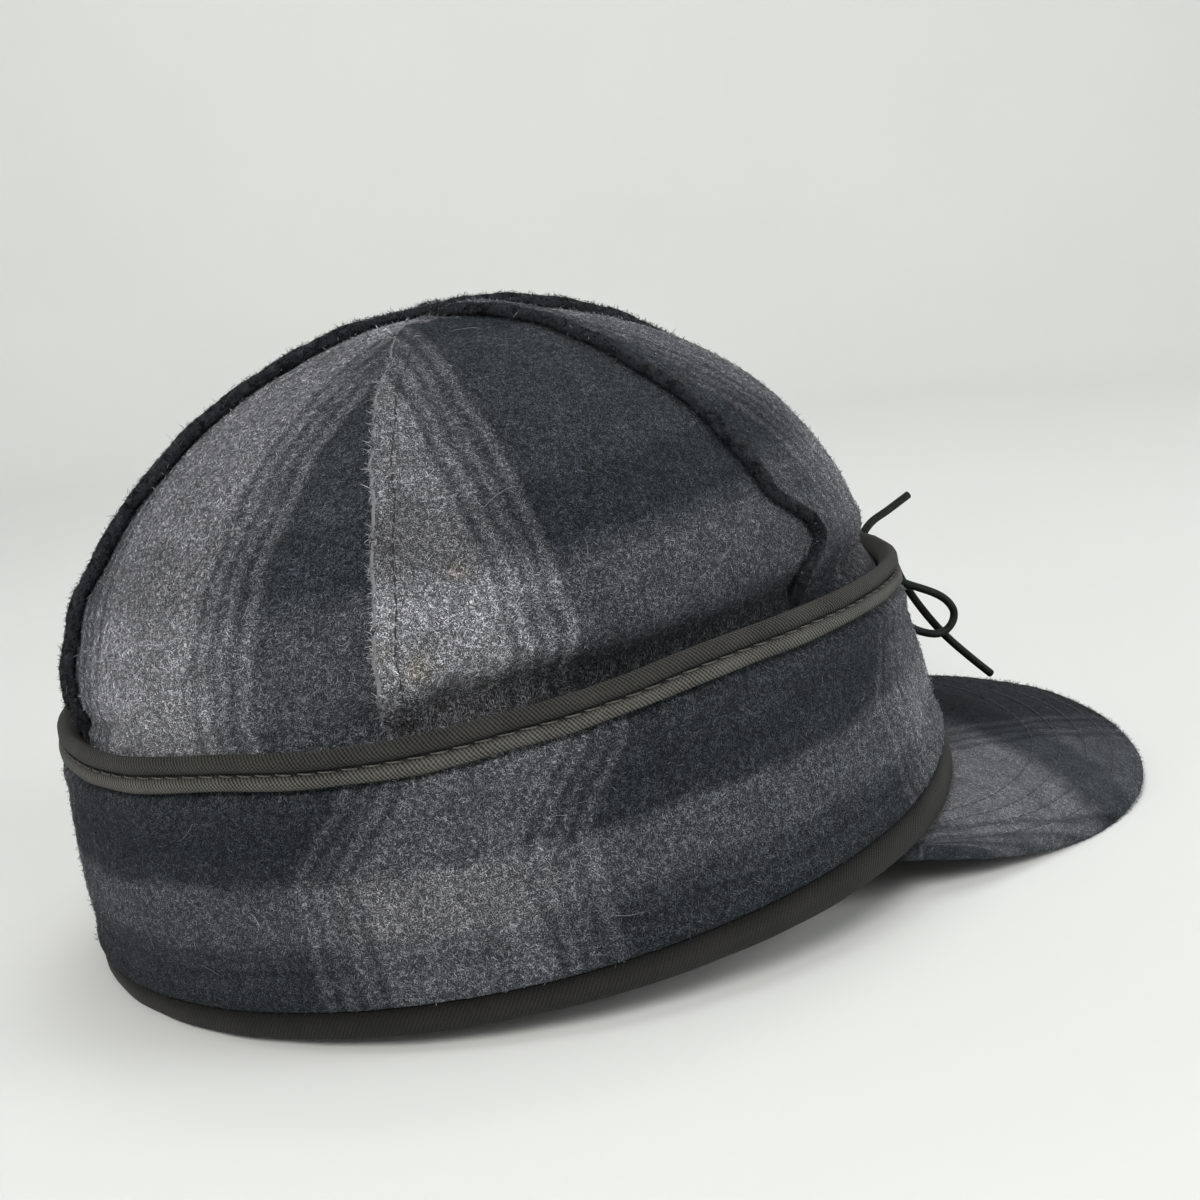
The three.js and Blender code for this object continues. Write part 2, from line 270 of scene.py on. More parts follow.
def plaidColour(shader, place, look):
    # The threads wander a little, more over long stretches than over short ones.
    moved = place
    for scale, most in ((0.07, plaid["drift"]), (0.9, plaid["wander"])):
        stray = shader.flatNoise(place, scale, output="Color")
        stray = shader.vector("SUBTRACT", stray, (0.5, 0.5, 0.5))
        moved = shader.vector("MULTIPLY_ADD", stray, (most * 2,) * 3, moved)
    across, up = shader.acrossAndUp(moved)
    if "skew" in look:
        start, slope = look["skew"]
        above = shader.math("MAXIMUM", shader.math("SUBTRACT", up, start), 0.0)
        across = shader.math("MULTIPLY_ADD", above, slope, across)
    warp = stripeShade(shader, shader.math("SUBTRACT", across, look["warp"]), 0)
    if "weftChart" in look:
        weft = shader.chart(up, look["weftChart"])
    else:
        weft = stripeShade(shader, shader.math("SUBTRACT", up, look["weft"]), 1)
    dark, warpOnly, weftOnly, light = [tinted(shade) for shade in look["shades"]]
    low = shader.mixColour(warp, dark, warpOnly)
    high = shader.mixColour(warp, weftOnly, light)
    colour = shader.mixColour(weft, low, high)
    if "paintedFoldShade" in look:
        # Painted shade: the cloth is darkened for a few millimetres above the casing, where the crown's fold
        # over it lies in shadow.
        stops = [(at, 1 - look["paintedFoldShade"] * (1 - shade)) for at, shade in plaid["paintedFoldShade"]]
        colour = shader.multiply(colour, shader.chart(up, stops))
    return colour


def woolMaterial(name, look, fibre=False):
    # look holds the plaid's place on the piece and the shades of its four kinds of square.
    shader = Shader(name)
    place = shader.millimetres()
    mottle = shader.flatNoise(place, 0.16, 3.0)
    patch = shader.ramp(mottle, [(0.3, 0.82), (0.7, 1.16)])
    colour = shader.multiply(plaidColour(shader, place, look), patch)
    for across, up, radius in look.get("stains", ()):
        away = shader.vector("DISTANCE", shader.vector("MULTIPLY", place, (1, 1, 0)), (across, up, 0))
        away = shader.math("DIVIDE", away.node.outputs["Value"], radius)
        away = shader.math("ADD", away, shader.math("MULTIPLY", mottle, 0.8))
        stained = shader.multiply(colour, plaid["stain"])
        colour = shader.mixColour(shader.ramp(away, [(0.4, 0.45), (1.6, 0.0)]), colour, stained)
    shade, height = (shader.attribute("tone"), None) if fibre else napStrokes(shader, place)
    if "grain" in look:
        level = (1 - look["grain"]) * (1.6 if fibre else 0.9)
        shade = shader.math("MULTIPLY_ADD", shade, look["grain"], level)
    colour = shader.scale(colour, shade)
    if fibre:
        colour = shader.mixColour(shader.attribute("pale"), colour, wool["paleFibre"])
    return shader.finish(colour, wool["surface"], height, wool["bump"], 0.8)


def napStrokes(shader, place):
    # Curled hairs: level lines of slow noises, broken off here and there, over a dark felted ground.
    hairs = 0.0
    for shift, scale, fold, width in wool["hairs"]:
        moved = shader.vector("ADD", place, (shift, shift * 1.7, 0))
        level = shader.math("PINGPONG", shader.flatNoise(moved, scale, 1.0, 0.3), fold)
        line = shader.ramp(shader.math("DIVIDE", level, fold), [(0.0, 1.0), (width, 0.0)])
        breaks = shader.ramp(shader.flatNoise(moved, 0.75), [(0.43, 0.0), (0.58, 1.0)])
        hairs = shader.math("MAXIMUM", shader.math("MULTIPLY", line, breaks), hairs)
    speck = shader.ramp(shader.flatNoise(place, 3.9, 2.0), [(0.36, 0.0), (0.68, 1.0)])
    height = shader.math("ADD", shader.math("MULTIPLY", hairs, 0.6), shader.math("MULTIPLY", speck, 0.5))
    return shader.ramp(height, wool["shade"]), height


def plainWoolMaterial(name):
    # The back of the cloth: dark, flatter felt with the same fibres.
    shader = Shader(name)
    place = shader.millimetres()
    shade, height = napStrokes(shader, place)
    colour = shader.ramp(shader.flatNoise(place, 0.1, 2.0), wool["insideCloud"])
    return shader.finish(shader.scale(colour, shade), wool["insideSurface"], height, wool["bump"], 0.6)


def rawEdgeMaterial(name, dark, light):
    # A cut edge: matted curls, not napped, in one tone.
    shader = Shader(name)
    where = shader.objectPlace()
    height = shader.math("ADD", shader.noise(where, 900, 2.0, 1.6), shader.noise(where, 260, 2.0, 0.8))
    colour = shader.ramp(height, [(0.8, dark), (1.25, light)])
    return shader.finish(colour, {"Roughness": 0.95, "Specular IOR Level": 0.12}, height, 0.0006, 0.9)


twill = {
    "pitch": 0.72, "lean": math.radians(56), "crossPitch": 0.6, "depth": 0.00022,
    "surface": {"Roughness": 0.9, "Sheen Weight": 0.04, "Specular IOR Level": 0.15},
}


def twillMaterial(name, dark, light, strength, depth, paintedShade):
    # Diagonal ribs crossed by a finer weave, both along the tape's own length. A chart by the distance
    # across the tape scales its colour: painted shade in grooves, under edges and on faces turned from the
    # lamps, painted light where more light falls.
    shader = Shader(name)
    place = shader.millimetres()
    drift = shader.flatNoise(place, 0.5, output="Color")
    along, across = shader.acrossAndUp(shader.vector("MULTIPLY_ADD", drift, (0.25, 0.25, 0), place))
    cosine, sine = math.cos(twill["lean"]), math.sin(twill["lean"])
    waves = []
    for a, b, pitch in ((sine, -cosine, twill["pitch"]), (cosine, sine, twill["crossPitch"])):
        phase = shader.math("MULTIPLY", across, 2 * math.pi * b / pitch)
        phase = shader.math("MULTIPLY_ADD", along, 2 * math.pi * a / pitch, phase)
        waves.append(shader.math("MULTIPLY_ADD", shader.math("SINE", phase), 0.5, 0.5))
    weave = shader.math("MULTIPLY_ADD", waves[1], 0.45, waves[0])
    weave = shader.math("MULTIPLY_ADD", shader.flatNoise(place, 1.6, 3.0), 0.5, weave)
    wear = shader.math("MULTIPLY", shader.flatNoise(place, 0.09, 2.0), 0.3)
    tone = shader.math("MULTIPLY_ADD", weave, strength, wear)
    colour = shader.ramp(tone, [(0.3, dark), (1.0, light)])
    colour = shader.multiply(colour, shader.chart(across, paintedShade))
    return shader.finish(colour, twill["surface"], weave, depth, 0.9)


def cordMaterial():
    # Waxed cord: nearly black green, with the braid's fine slanting strands and dull gloss.
    shader = Shader("waxedCord")
    where = shader.objectPlace()
    strands = shader.noise(where, 1400, 2.0, 0.6)
    colour = shader.ramp(strands, [(0.35, (0.002, 0.0035, 0.003)), (0.7, (0.009, 0.014, 0.011))])
    rough = shader.ramp(shader.noise(where, 260), [(0.3, 0.5), (0.7, 0.75)])
    return shader.finish(colour, {"Roughness": rough, "Specular IOR Level": 0.14}, strands, 0.00012, 0.5)


def threadMaterial(name, dark, light):
    shader = Shader(name)
    ply = shader.noise(shader.objectPlace(), 2600, 2.0, 0.5)
    colour = shader.ramp(ply, [(0.3, dark), (0.7, light)])
    return shader.finish(colour, {"Roughness": 0.75, "Specular IOR Level": 0.3}, ply, 0.00008, 0.5)


# Tie: one waxed cord from each side, through the bow's knot and back out of it
tie = {
    "diameter": 2.2,
    "knotCentre": (0, -109, 43.5),
    "right": [
        (-8.5, -104.4, 49.4), (-7.3, -106.1, 48.8), (-5.6, -107.8, 47), (-4.2, -109.1, 43.8),
        (-4, -110.2, 40.2), (-4.8, -111.9, 36.6), (-6.3, -115, 33.8), (-7.8, -119, 31.4),
        (-8.8, -122.4, 29.2), (-9.4, -125.2, 26.6), (-9.8, -126.8, 23.4), (-9.8, -126.2, 20.6),
        (-9.8, -124, 18.8), (-9.7, -121, 18.3), (-9.4, -117.4, 19.4), (-8.6, -113, 22.2),
        (-7, -109.4, 27.2), (-5, -107.2, 32.6), (-3.2, -106.5, 37.4), (-2.2, -107.4, 41.2),
        (-1.6, -109.6, 42.8), (-1.4, -112.4, 42.8), (-1.5, -114.6, 41.2), (-2, -115.4, 38.6),
        (-2.8, -116, 35), (-3.7, -117.6, 30.4), (-4.7, -120.8, 23.8), (-5.5, -126, 15.6),
        (-6, -133, 7.2), (-6.2, -139.2, 0.4),
    ],
    "left": [
        (8.5, -104.4, 49.4), (7.4, -106.1, 48.7), (5.6, -107.8, 47), (4, -109.1, 44.3),
        (3.6, -110.3, 41.2), (5, -112, 38.6), (8, -114.2, 36.8), (12, -116.8, 35),
        (16.4, -119, 32.6), (20, -120.1, 29.4), (21.7, -119.7, 25.4), (20.7, -118.1, 22),
        (17.4, -115.8, 20.2), (13, -113.1, 21.4), (9, -110.5, 25.8), (5.8, -108.2, 32),
        (3.4, -106.8, 38.4), (2.1, -106.8, 43.6), (1.9, -108.8, 48), (2.4, -113, 50.9),
        (3.2, -119, 52.3), (4.2, -127.4, 54.6),
    ],
    "wrapRadii": (3.3, 2.6),
    "wrapTurns": 2.4,
    "wrapHeight": 5.0,
    "wrapPoints": 34,
}


def addTube(name, points, material):
    data = bpy.data.curves.new(name, "CURVE")
    data.dimensions = "3D"
    data.bevel_depth = tie["diameter"] / 2 * millimetre
    data.bevel_resolution = 4
    data.use_fill_caps = True
    data.resolution_u = 3
    spline = data.splines.new("NURBS")
    spline.points.add(len(points) - 1)
    for point, place in zip(spline.points, points):
        point.co = (*place, 1)
    spline.order_u = 4
    spline.use_endpoint_u = True
    tube = addObject(name, data)
    data.materials.append(material)
    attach(tube, "root")
    return tube


def throughPoints(points, stepsEach=3):
    # A smooth curve through given points, sampled evenly between them.
    points = np.asarray(points, float)
    ends = np.vstack([2 * points[0] - points[1], points, 2 * points[-1] - points[-2]])
    found = []
    for a, b, c, d in zip(ends, ends[1:], ends[2:], ends[3:]):
        for s in np.arange(stepsEach) / stepsEach:
            bend = (2 * a - 5 * b + 4 * c - d) * s**2 + (3 * b - a - 3 * c + d) * s**3
            found.append(0.5 * (2 * b + (c - a) * s + bend))
    return np.array([*found, points[-1]])


def addTie():
    material = cordMaterial()
    turns = np.linspace(0, 2 * math.pi * tie["wrapTurns"], tie["wrapPoints"])
    rise = tie["wrapHeight"] * (turns / turns[-1] - 0.5)
    across, deep = tie["wrapRadii"]
    wrap = tie["knotCentre"] + np.stack([across * np.cos(turns), -deep * np.sin(turns), rise], -1)
    knot = addTube("tieKnot", onFloor(wrap), material)
    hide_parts("tie_knot")
    for side in ("right", "left"):
        route = onFloor(throughPoints(tie[side]))
        cord = addTube("tieCord" + side.capitalize(), route, material)
        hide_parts(*[f"tie_cord_{side}_{stretch}" for stretch in ("lead", "loop", "end")])
        float(runningLength(route)[-1])
        print(f"tie cord {side}: {runningLength(route)[-1]:.4f} m")


addTie()

# Earband: three level rings that its outer face passes through, as the cap's plan
band = {
    "front": (103.8, 103.2, 101.4),
    "back": (106.4, 106.6, 100.3),
    "side": (97.2, 93.6, 85.3),
    "shift": (0.85, 1.9, 2.9),
    "height": (2.6, 32.1, 61.6),
    "frontDip": 7.5,
}


def ringValue(column, at):
    low, middle, high = band[column]
    return low * (1 - at) * (1 - 2 * at) + middle * 4 * at * (1 - at) + high * at * (2 * at - 1)


def bandTop(angle):
    return band["height"][2] - band["frontDip"] * np.maximum(0, np.cos(angle)) ** 3


def bandPoint(angle, height, out=0.0):
    angle, height, out = np.broadcast_arrays(angle, height, out)
    rim = band["height"][0]
    at = np.clip((height - rim) / (bandTop(angle) - rim), 0, 1)
    along = np.where(np.cos(angle) > 0, ringValue("front", at), ringValue("back", at))
    side = ringValue("side", at)
    normal = unit(np.stack([-np.sin(angle) / side, -np.cos(angle) / along], -1))
    x = -side * np.sin(angle) + normal[..., 0] * out
    y = ringValue("shift", at) - along * np.cos(angle) + normal[..., 1] * out
    return np.stack([x, y, height], -1)


# Crown: a dome over an upright wall inside the earband, in six panels with lapped seams
crown = {
    "side": 86, "length": 100.2, "shift": 5.7, "lean": -1.9,
    "base": 47.6, "rise": 83.6, "power": 1.96,
    "wallInset": 3.8, "wallTurn": 0.042, "tuckLow": 61, "tuckHigh": 72, "fullness": 2,
    "thickness": 2.0, "lapRise": 2.3, "lapWidth": 5.5, "lapSlope": 5, "lapHidden": 4.5,
    "lapFadeLow": 58.5, "lapFadeFull": 62, "lapHiddenFull": 64.5, "buttGap": 0.35,
    "hollow": 5.1, "hollowHeights": (52.5, 59.2, 74.5), "hollowSides": (-0.76, -0.4),
    "rearPuff": {"size": 1.6, "rise": (57.6, 59.8), "fall": (61, 72)},
    "rearHollow": {"size": 2.2, "rise": (57, 62), "fall": (63, 84), "within": (0.91, 0.992)},
    "pucker": 0.3, "puckerLength": 11, "puckerReach": 6, "swell": 0.45, "creased": (64, 74),
    "lowRows": (3.4, 14, 25, 36, 46, 52, 56, 58, 59.5, 60.3, 61, 61.8, 62.6, 63.6, 64.9), "domeFrom": 66,
    "rowStep": 1.9, "tipAngle": 89.75, "middleColumns": 22, "wornFrom": 26, "napFrom": 54, "napInset": 5,
    "closing": ((2, 15), (3, 12), (9, 26)),
}


def domePoint(angle, height):
    rise = np.clip((height - crown["base"]) / crown["rise"], 0, 1)
    radius = (1 - rise ** crown["power"]) ** (1 / crown["power"])
    x = -crown["side"] * radius * np.sin(angle)
    y = crown["shift"] + crown["lean"] * rise**2 - crown["length"] * radius * np.cos(angle)
    return np.stack([x, y, height + 0 * angle], -1)


def crownPoint(angle, height):
    angle, height = np.broadcast_arrays(np.asarray(angle, float), np.asarray(height, float))
    wallAngle = angle + crown["wallTurn"] * np.sin(angle)
    wall = bandPoint(wallAngle, np.minimum(height, crown["tuckLow"]), -crown["wallInset"])
    wall = np.concatenate([wall[..., :2], height[..., None]], -1)
    share = smoothStep(crown["tuckLow"], crown["tuckHigh"], height)[..., None]
    point = mix(wall, domePoint(angle, height), share)
    top = crown["base"] + crown["rise"]
    rise = np.clip((height - crown["tuckLow"]) / (top - crown["tuckLow"]), 0, 1)
    full = crown["fullness"] * np.sin(np.pi * rise) * np.sin(3 * angle) ** 2
    outward = unit(point * (1, 1, 0) - (0, crown["shift"], 0))
    return point + outward * full[..., None]


def crownReach(points):
    # How far points are from the crown's upright middle line.
    return np.hypot(points[..., 0], points[..., 1] - crown["shift"])


def crownRelief(angle, height):
    # Puckers along the stitched seams, and a slow swell of the cloth between them.
    seam = np.round(angle / (np.pi / 3)) * (np.pi / 3)
    radius = crownReach(crownPoint(angle, height))
    up = height + radius * 0.4
    pucker = np.sin(2 * np.pi * up / crown["puckerLength"] + 2.1 * seam + 1.2 * np.sin(up / 9))
    pucker = crown["pucker"] * pucker * bell(np.abs(angle - seam) * radius, 0, crown["puckerReach"])
    swell = np.sin(4 * angle + height / 15) * np.sin(height / 9 + 2.3 * np.sin(angle * 2)) * crown["swell"]
    relief = (pucker + swell) * smoothStep(*crown["creased"], height) * smoothStep(1, 14, radius)
    # Along the sides the cloth turns in before it goes down behind the casing; at the rear it
    # stands out over the casing instead.
    facing = np.cos(angle)
    beside = smoothStep(*crown["hollowSides"], facing) * (1 - 0.55 * smoothStep(0.6, 1, facing))
    start, deepest, end = crown["hollowHeights"]
    leaving = np.clip((height - deepest) / (end - deepest), 0, 1)
    sunk = crown["hollow"] * beside * smoothStep(start, deepest, height) * (1 - leaving) ** 1.5
    puff, behind = crown["rearPuff"], crown["rearHollow"]
    relief += puff["size"] * (1 - beside) * hump(height, puff["rise"], puff["fall"])
    behindShare = smoothStep(*behind["within"], -facing)
    return relief - sunk - behind["size"] * behindShare * hump(height, behind["rise"], behind["fall"])


def crownNormal(angle, height):
    step = np.minimum(0.4, (crown["base"] + crown["rise"] - height) * 0.3)
    turn = 0.02
    around = crownPoint(angle + turn, height) - crownPoint(angle - turn, height)
    upward = crownPoint(angle, height + step) - crownPoint(angle, height - step)
    return unit(np.cross(upward, around))


def crownSurface(angle, height, rise):
    relief = crownRelief(angle, height) + rise
    return crownPoint(angle, height) + crownNormal(angle, height) * relief[..., None]


# Each panel, from the front centre round by the wearer's right: which of its two seams lie over
# the neighbour, where a light block's middle lies on it (across from its middle line, and up from
# the earband's top), the shades of its squares (dark, light warp only, light weft only, both
# light), how many columns beside its raw edges are matted (they take the raw edge's colour, which
# is partly painted shade), which edge is worn light, and how much painted shade darkens it just
# above the casing.
panels = [
    {"side": "front_right", "slot": "wool_grey", "over": (False, True), "warp": -6.5, "weft": 3.0,
     "shades": (0.022, 0.088, 0.070, 0.140), "matted": (0, 2), "paintedFoldShade": 0.6},
    {"side": "side_right", "slot": "wool_grey", "over": (False, True), "warp": 40.8, "weft": -2.5,
     "shades": (0.0235, 0.107, 0.075, 0.236), "matted": (0, 0), "worn": 1, "paintedFoldShade": 1.0,
     "stains": ((51.5, 14.5, 6.0), (43, 10, 6.5), (30, 27, 4.5))},
    {"side": "rear_right", "slot": "wool_dark", "over": (False, False), "warp": 10.5, "weft": -2.0,
     "shades": (0.034, 0.140, 0.074, 0.214), "matted": (0, 0)},
    {"side": "rear_left", "slot": "wool_dark", "over": (True, False), "warp": 24.0, "weft": -4.0,
     "shades": (0.024, 0.120, 0.078, 0.225), "matted": (2, 0)},
    {"side": "side_left", "slot": "wool_grey", "over": (True, False), "warp": -36.0, "weft": -2.5,
     "shades": (0.026, 0.110, 0.078, 0.240), "matted": (0, 0), "worn": 0, "paintedFoldShade": 1.0},
    {"side": "front_left", "slot": "wool_dark", "over": (True, True), "warp": 31.0, "weft": -2.0,
     "shades": (0.023, 0.106, 0.074, 0.200), "matted": (2, 2), "paintedFoldShade": 0.6},
]
for seam, panel in enumerate(panels):
    panel["seam"] = seam
    panel["node"] = "crown_panel_" + panel["side"]
    panel["name"] = "crownPanel" + panel["side"].title().replace("_", "")
# The front panel's raw edge curls back over the side panel just above the earband.
edgeCurl = {"seam": 1, "back": 9.5, "rise": (2.0, 9.6), "fall": (9.6, 26.0)}
# The raw edges roll up along the seams, most of all along the middle one over the crown.
edgeRoll = {"most": (1.25, 0.8, 0.4), "at": 1.3, "width": 1.25}
# Each seam's kind: 0 middle, 1 front, 2 side
seamKinds = (0, 1, 2, 0, 2, 1)
edgeColumns = (0.0, 0.45, 1.1, 2.0, 3.2, 4.6, 6.0, 7.6, 9.4, 11.4)
roundTurns = np.radians([45, 90, 135])


def seamWander(seam, up):
    # How far a hand-guided raw edge strays from its seam line, in millimetres.
    phase = 1.7 * seam
    waves = ((0.42, 8.3, 1), (0.26, 3.1, 2), (0.16, 0.93, 3), (0.1, 0.61, 1))
    stray = sum(size * np.sin(up / length + turns * phase) for size, length, turns in waves)
    return stray * (1.0 if seamKinds[seam] else 1.5)


def rollRise(seam, up, distance, size):
    # A raw edge's own roll, lumpy along the seam.
    waves = ((0.14, 2.3, 1), (0.07, 0.87, 2), (0.12, 5.1, 0))
    lumps = 0.75 + sum(height * np.sin(up / length + turns * seam) for height, length, turns in waves)
    most = edgeRoll["most"][seamKinds[seam % 6]]
    return most * bell(distance, edgeRoll["at"], edgeRoll["width"]) * (lumps * size)[:, None]


def curlBack(seam, up):
    if seam != edgeCurl["seam"]:
        return 0 * up
    return edgeCurl["back"] * hump(up, edgeCurl["rise"], edgeCurl["fall"])


def lapShare(distance):
    # How much of the lap's rise is left at a distance from the raw edge.
    return 1 - smoothStep(crown["lapWidth"], crown["lapWidth"] + crown["lapSlope"], distance)


def panelRows():
    # Heights up from the hem, wide apart behind the earband and even over the dome.
    split = 90
    start = math.asin((split - crown["base"]) / crown["rise"])
    turns = np.linspace(start, math.radians(crown["tipAngle"]), 400)
    dense = np.append(np.linspace(55, split, 200)[:-1], crown["base"] + crown["rise"] * np.sin(turns))
    line = runningLength(domePoint(0 * dense + 1.5, dense))
    upper = np.interp(np.linspace(0, line[-1], int(line[-1] / crown["rowStep"])), line, dense)
    return np.append(crown["lowRows"], upper[upper > crown["domeFrom"]])


def panelGrid(panel):
    # Heights, lengths up from the earband's top, and a table of angles and of rises at every height.
    heights = panelRows()
    low, high = panel["seam"] * np.pi / 3, (panel["seam"] + 1) * np.pi / 3
    centreLine = crownPoint((low + high) / 2, heights)
    up = runningLength(centreLine)
    up -= np.interp(band["height"][2], heights, up)
    radius = crownReach(centreLine)
    size = np.minimum(1, radius / 13)
    fade = smoothStep(crown["lapFadeLow"], crown["lapFadeFull"], heights)
    under = np.clip((heights - crown["lapFadeFull"]) / (crown["lapHiddenFull"] - crown["lapFadeFull"]), 0, 1)

    def edge(seam, over):
        # How far in from the seam line the edge starts, and how high it lies.
        kind = seamKinds[seam]
        closing = smoothStep(*crown["closing"][kind], radius)
        if kind == 0:
            closing = mix(0.5, 1, closing)
        if over:
            start = (seamWander(seam, up) * size + curlBack(seam, up)) * fade
            return start / radius, crown["lapRise"] * fade * closing
        hidden = mix(-crown["buttGap"], crown["lapHidden"] * size * closing, under)
        return -np.minimum(hidden + curlBack(seam, up) * 1.25, 0.45 * radius) / radius, 0 * radius

    lowStart, lowLift = edge(panel["seam"], panel["over"][0])
    highStart, highLift = edge((panel["seam"] + 1) % 6, panel["over"][1])
    lowAngle, highAngle = low + lowStart, high - highStart
    steps = [distance * size / radius for distance in edgeColumns]
    shares = np.arange(1, crown["middleColumns"]) / crown["middleColumns"]
    angles = [lowAngle + step for step in steps]
    angles += [mix(lowAngle + steps[-1], highAngle - steps[-1], share) for share in shares]
    angles += [highAngle - step for step in reversed(steps)]
    angles = np.stack(angles, 1)
    rises = np.zeros_like(angles)
    sides = ((angles - lowAngle[:, None], lowLift), (highAngle[:, None] - angles, highLift))
    for end, (away, lift) in enumerate(sides):
        if panel["over"][end]:
            distance = away * radius[:, None]
            roll = rollRise(panel["seam"] + end, up, distance, size) * fade[:, None]
            rises = np.maximum(rises, lift[:, None] * lapShare(distance / size[:, None]) + roll)
    return heights, up, angles, rises


def addSkin(name, node, points, uv, materials, columnMaterials, closedRows=False, plainFrom=None):
    # A grid primitive whose columns wrap round a cloth's section, closed into one skin.
    # columnMaterials says which columns, by the index of their material; the rest take the first,
    # and so do the raw edges of the rows from plainFrom on.
    rows, columns = points.shape[:2]
    bpy.ops.object.select_all(action="DESELECT")
    bpy.ops.mesh.primitive_grid_add(x_subdivisions=columns - 1, y_subdivisions=rows - 1, size=2)
    piece = bpy.context.object
    mesh = piece.data
    piece.name = mesh.name = name
    flat = np.zeros(len(mesh.vertices) * 3)
    mesh.vertices.foreach_get("co", flat)
    column, row = np.rint((flat.reshape(-1, 3)[:, :2] + 1) / 2 * (columns - 1, rows - 1)).astype(int).T
    placed = onFloor(points)[row, column]
    placed[:, 2] = np.maximum(placed[:, 2], 0)
    mesh.vertices.foreach_set("co", placed.ravel())
    corners = np.zeros(len(mesh.loops), int)
    mesh.loops.foreach_get("vertex_index", corners)
    mesh.uv_layers[0].name = "cut"
    mesh.uv_layers[0].uv.foreach_set("vector", (uv[row, column][corners] * millimetre).ravel())
    starts = np.zeros(len(mesh.polygons), int)
    mesh.polygons.foreach_get("loop_start", starts)
    index = np.zeros(columns, np.int32)
    for material, which in columnMaterials.items():
        index[list(which)] = material
    chosen = index[np.minimum.reduceat(column[corners], starts)]
    if plainFrom is not None:
        firstRow = np.minimum.reduceat(row[corners], starts)
        chosen[(firstRow >= plainFrom) & (chosen > 1)] = 0
    mesh.polygons.foreach_set("material_index", chosen)
    for material in materials:
        mesh.materials.append(material)
    bpy.ops.object.mode_set(mode="EDIT")
    bpy.ops.mesh.select_all(action="SELECT")
    bpy.ops.mesh.remove_doubles(threshold=0.000002)
    if not closedRows:
        bpy.ops.mesh.select_all(action="DESELECT")
        bpy.ops.mesh.select_non_manifold(extend=False, use_wire=False, use_multi_face=False,
                                         use_non_contiguous=False, use_verts=False)
        bpy.ops.mesh.edge_face_add()
    bpy.ops.mesh.select_all(action="SELECT")
    bpy.ops.mesh.normals_make_consistent(inside=False)
    bpy.ops.object.mode_set(mode="OBJECT")
    bpy.ops.object.shade_smooth()
    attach(piece, "root")
    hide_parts(node)
    return piece


def roundedSection(outer, inner, sides, radius):
    # Columns over the outer face, round one raw edge, back along the inner face and round the other.
    rounds = []
    for end, side, turns in ((-1, sides[1], roundTurns), (0, sides[0], roundTurns[::-1])):
        middle = (outer[:, end] + inner[:, end]) / 2
        up = unit(outer[:, end] - inner[:, end])
        arc = [middle + (up * math.cos(turn) + side * math.sin(turn)) * radius for turn in turns]
        rounds.append(np.stack(arc, 1))
    return np.concatenate([outer, rounds[0], inner[:, ::-1], rounds[1], outer[:, :1]], 1)


def addCrownPanel(panel):
    heights, up, angles, rises = panelGrid(panel)
    tall = heights[:, None]
    if panel["seam"] >= 3:
        # The left half lies over the right half: its cloth is raised beside the centre seam.
        raised = lapShare(np.abs(crownPoint(angles, tall)[..., 0])) * crown["lapRise"]
        rises = np.maximum(rises, raised * smoothStep(crown["lapFadeLow"], crown["lapFadeFull"], tall))
    outer = crownSurface(angles, tall, rises)
    inner = crownSurface(angles, tall, rises - crown["thickness"])
    lengths = runningLength(outer, 1)
    middle = (panel["seam"] + 0.5) * np.pi / 3
    across = lengths - np.array([[np.interp(middle, *row)] for row in zip(angles, lengths)])
    face = np.stack([across, up[:, None] + 0 * across], -1)
    sides = unit(outer[:, 0] - outer[:, 1]), unit(outer[:, -1] - outer[:, -2])
    rim = crown["thickness"] / 2
    points = roundedSection(outer, inner, sides, rim)
    bends = len(roundTurns)
    steps = rim * np.arange(1, bends + 1)[:, None] * (1, 0)
    uv = [face, face[:, -1:] + steps, face[:, ::-1], face[:, :1] - steps[::-1], face[:, :1]]
    uv = np.concatenate(uv, 1)
    # Columns: the outer face, the bends from columns on, the inner face from back on, the bends
    # from last on
    columns = outer.shape[1]
    back, last = columns + bends, 2 * columns + bends
    low, high = panel["matted"]
    columnMaterials = {
        1: range(back, last - 1),
        2: [*range(last - 1, last + bends), *range(low)],
        3: range(columns - 1 - high, back),
    }
    near = crownReach(outer[:, columns // 2]) < crown["wornFrom"]
    plainFrom = int(np.argmax(near)) if "worn" in panel else None
    edges = [rawEdges["worn" if panel.get("worn") == end else "dark"] for end in (0, 1)]
    materials = [woolMaterial(panel["name"] + "Wool", panel), insideWool, *edges]
    piece = addSkin(panel["name"], panel["node"], points, uv, materials, columnMaterials,
                    plainFrom=plainFrom)
    ends = [
        [np.concatenate([grid[:, last:last + bends], grid[:, :low + 1]], 1) for grid in (points, uv)],
        [grid[:, columns - 1 - high:back] for grid in (points, uv)],
    ]
    return {"points": outer, "inner": inner, "uv": face, "heights": heights, "sides": sides, "ends": ends}


insideWool = plainWoolMaterial("insideWool")
rawEdges = {
    # The dark edges' near-black is partly the cut edge's own dark colour and partly painted shade of the
    # lap's shadow; the matted columns and fibres beside them take it too.
    "dark": rawEdgeMaterial("darkEdgeAndPaintedShade", (0.0045, 0.0055, 0.0065), (0.030, 0.034, 0.038)),
    "worn": rawEdgeMaterial("wornEdge", (0.02, 0.021, 0.026), (0.19, 0.19, 0.20)),
}
crownSkins = [addCrownPanel(panel) for panel in panels]
print("crown panels sewn")

# Rings: the earband, its casing and its rim binding are sections carried round the cap.
# girths are the lengths round the earband at mid height, from the front centre.
ring = {"steps": 288, "height": 32.0}
ringAngles = np.linspace(0, 2 * np.pi, ring["steps"] + 1)
girths = runningLength(bandPoint(ringAngles, ring["height"]))


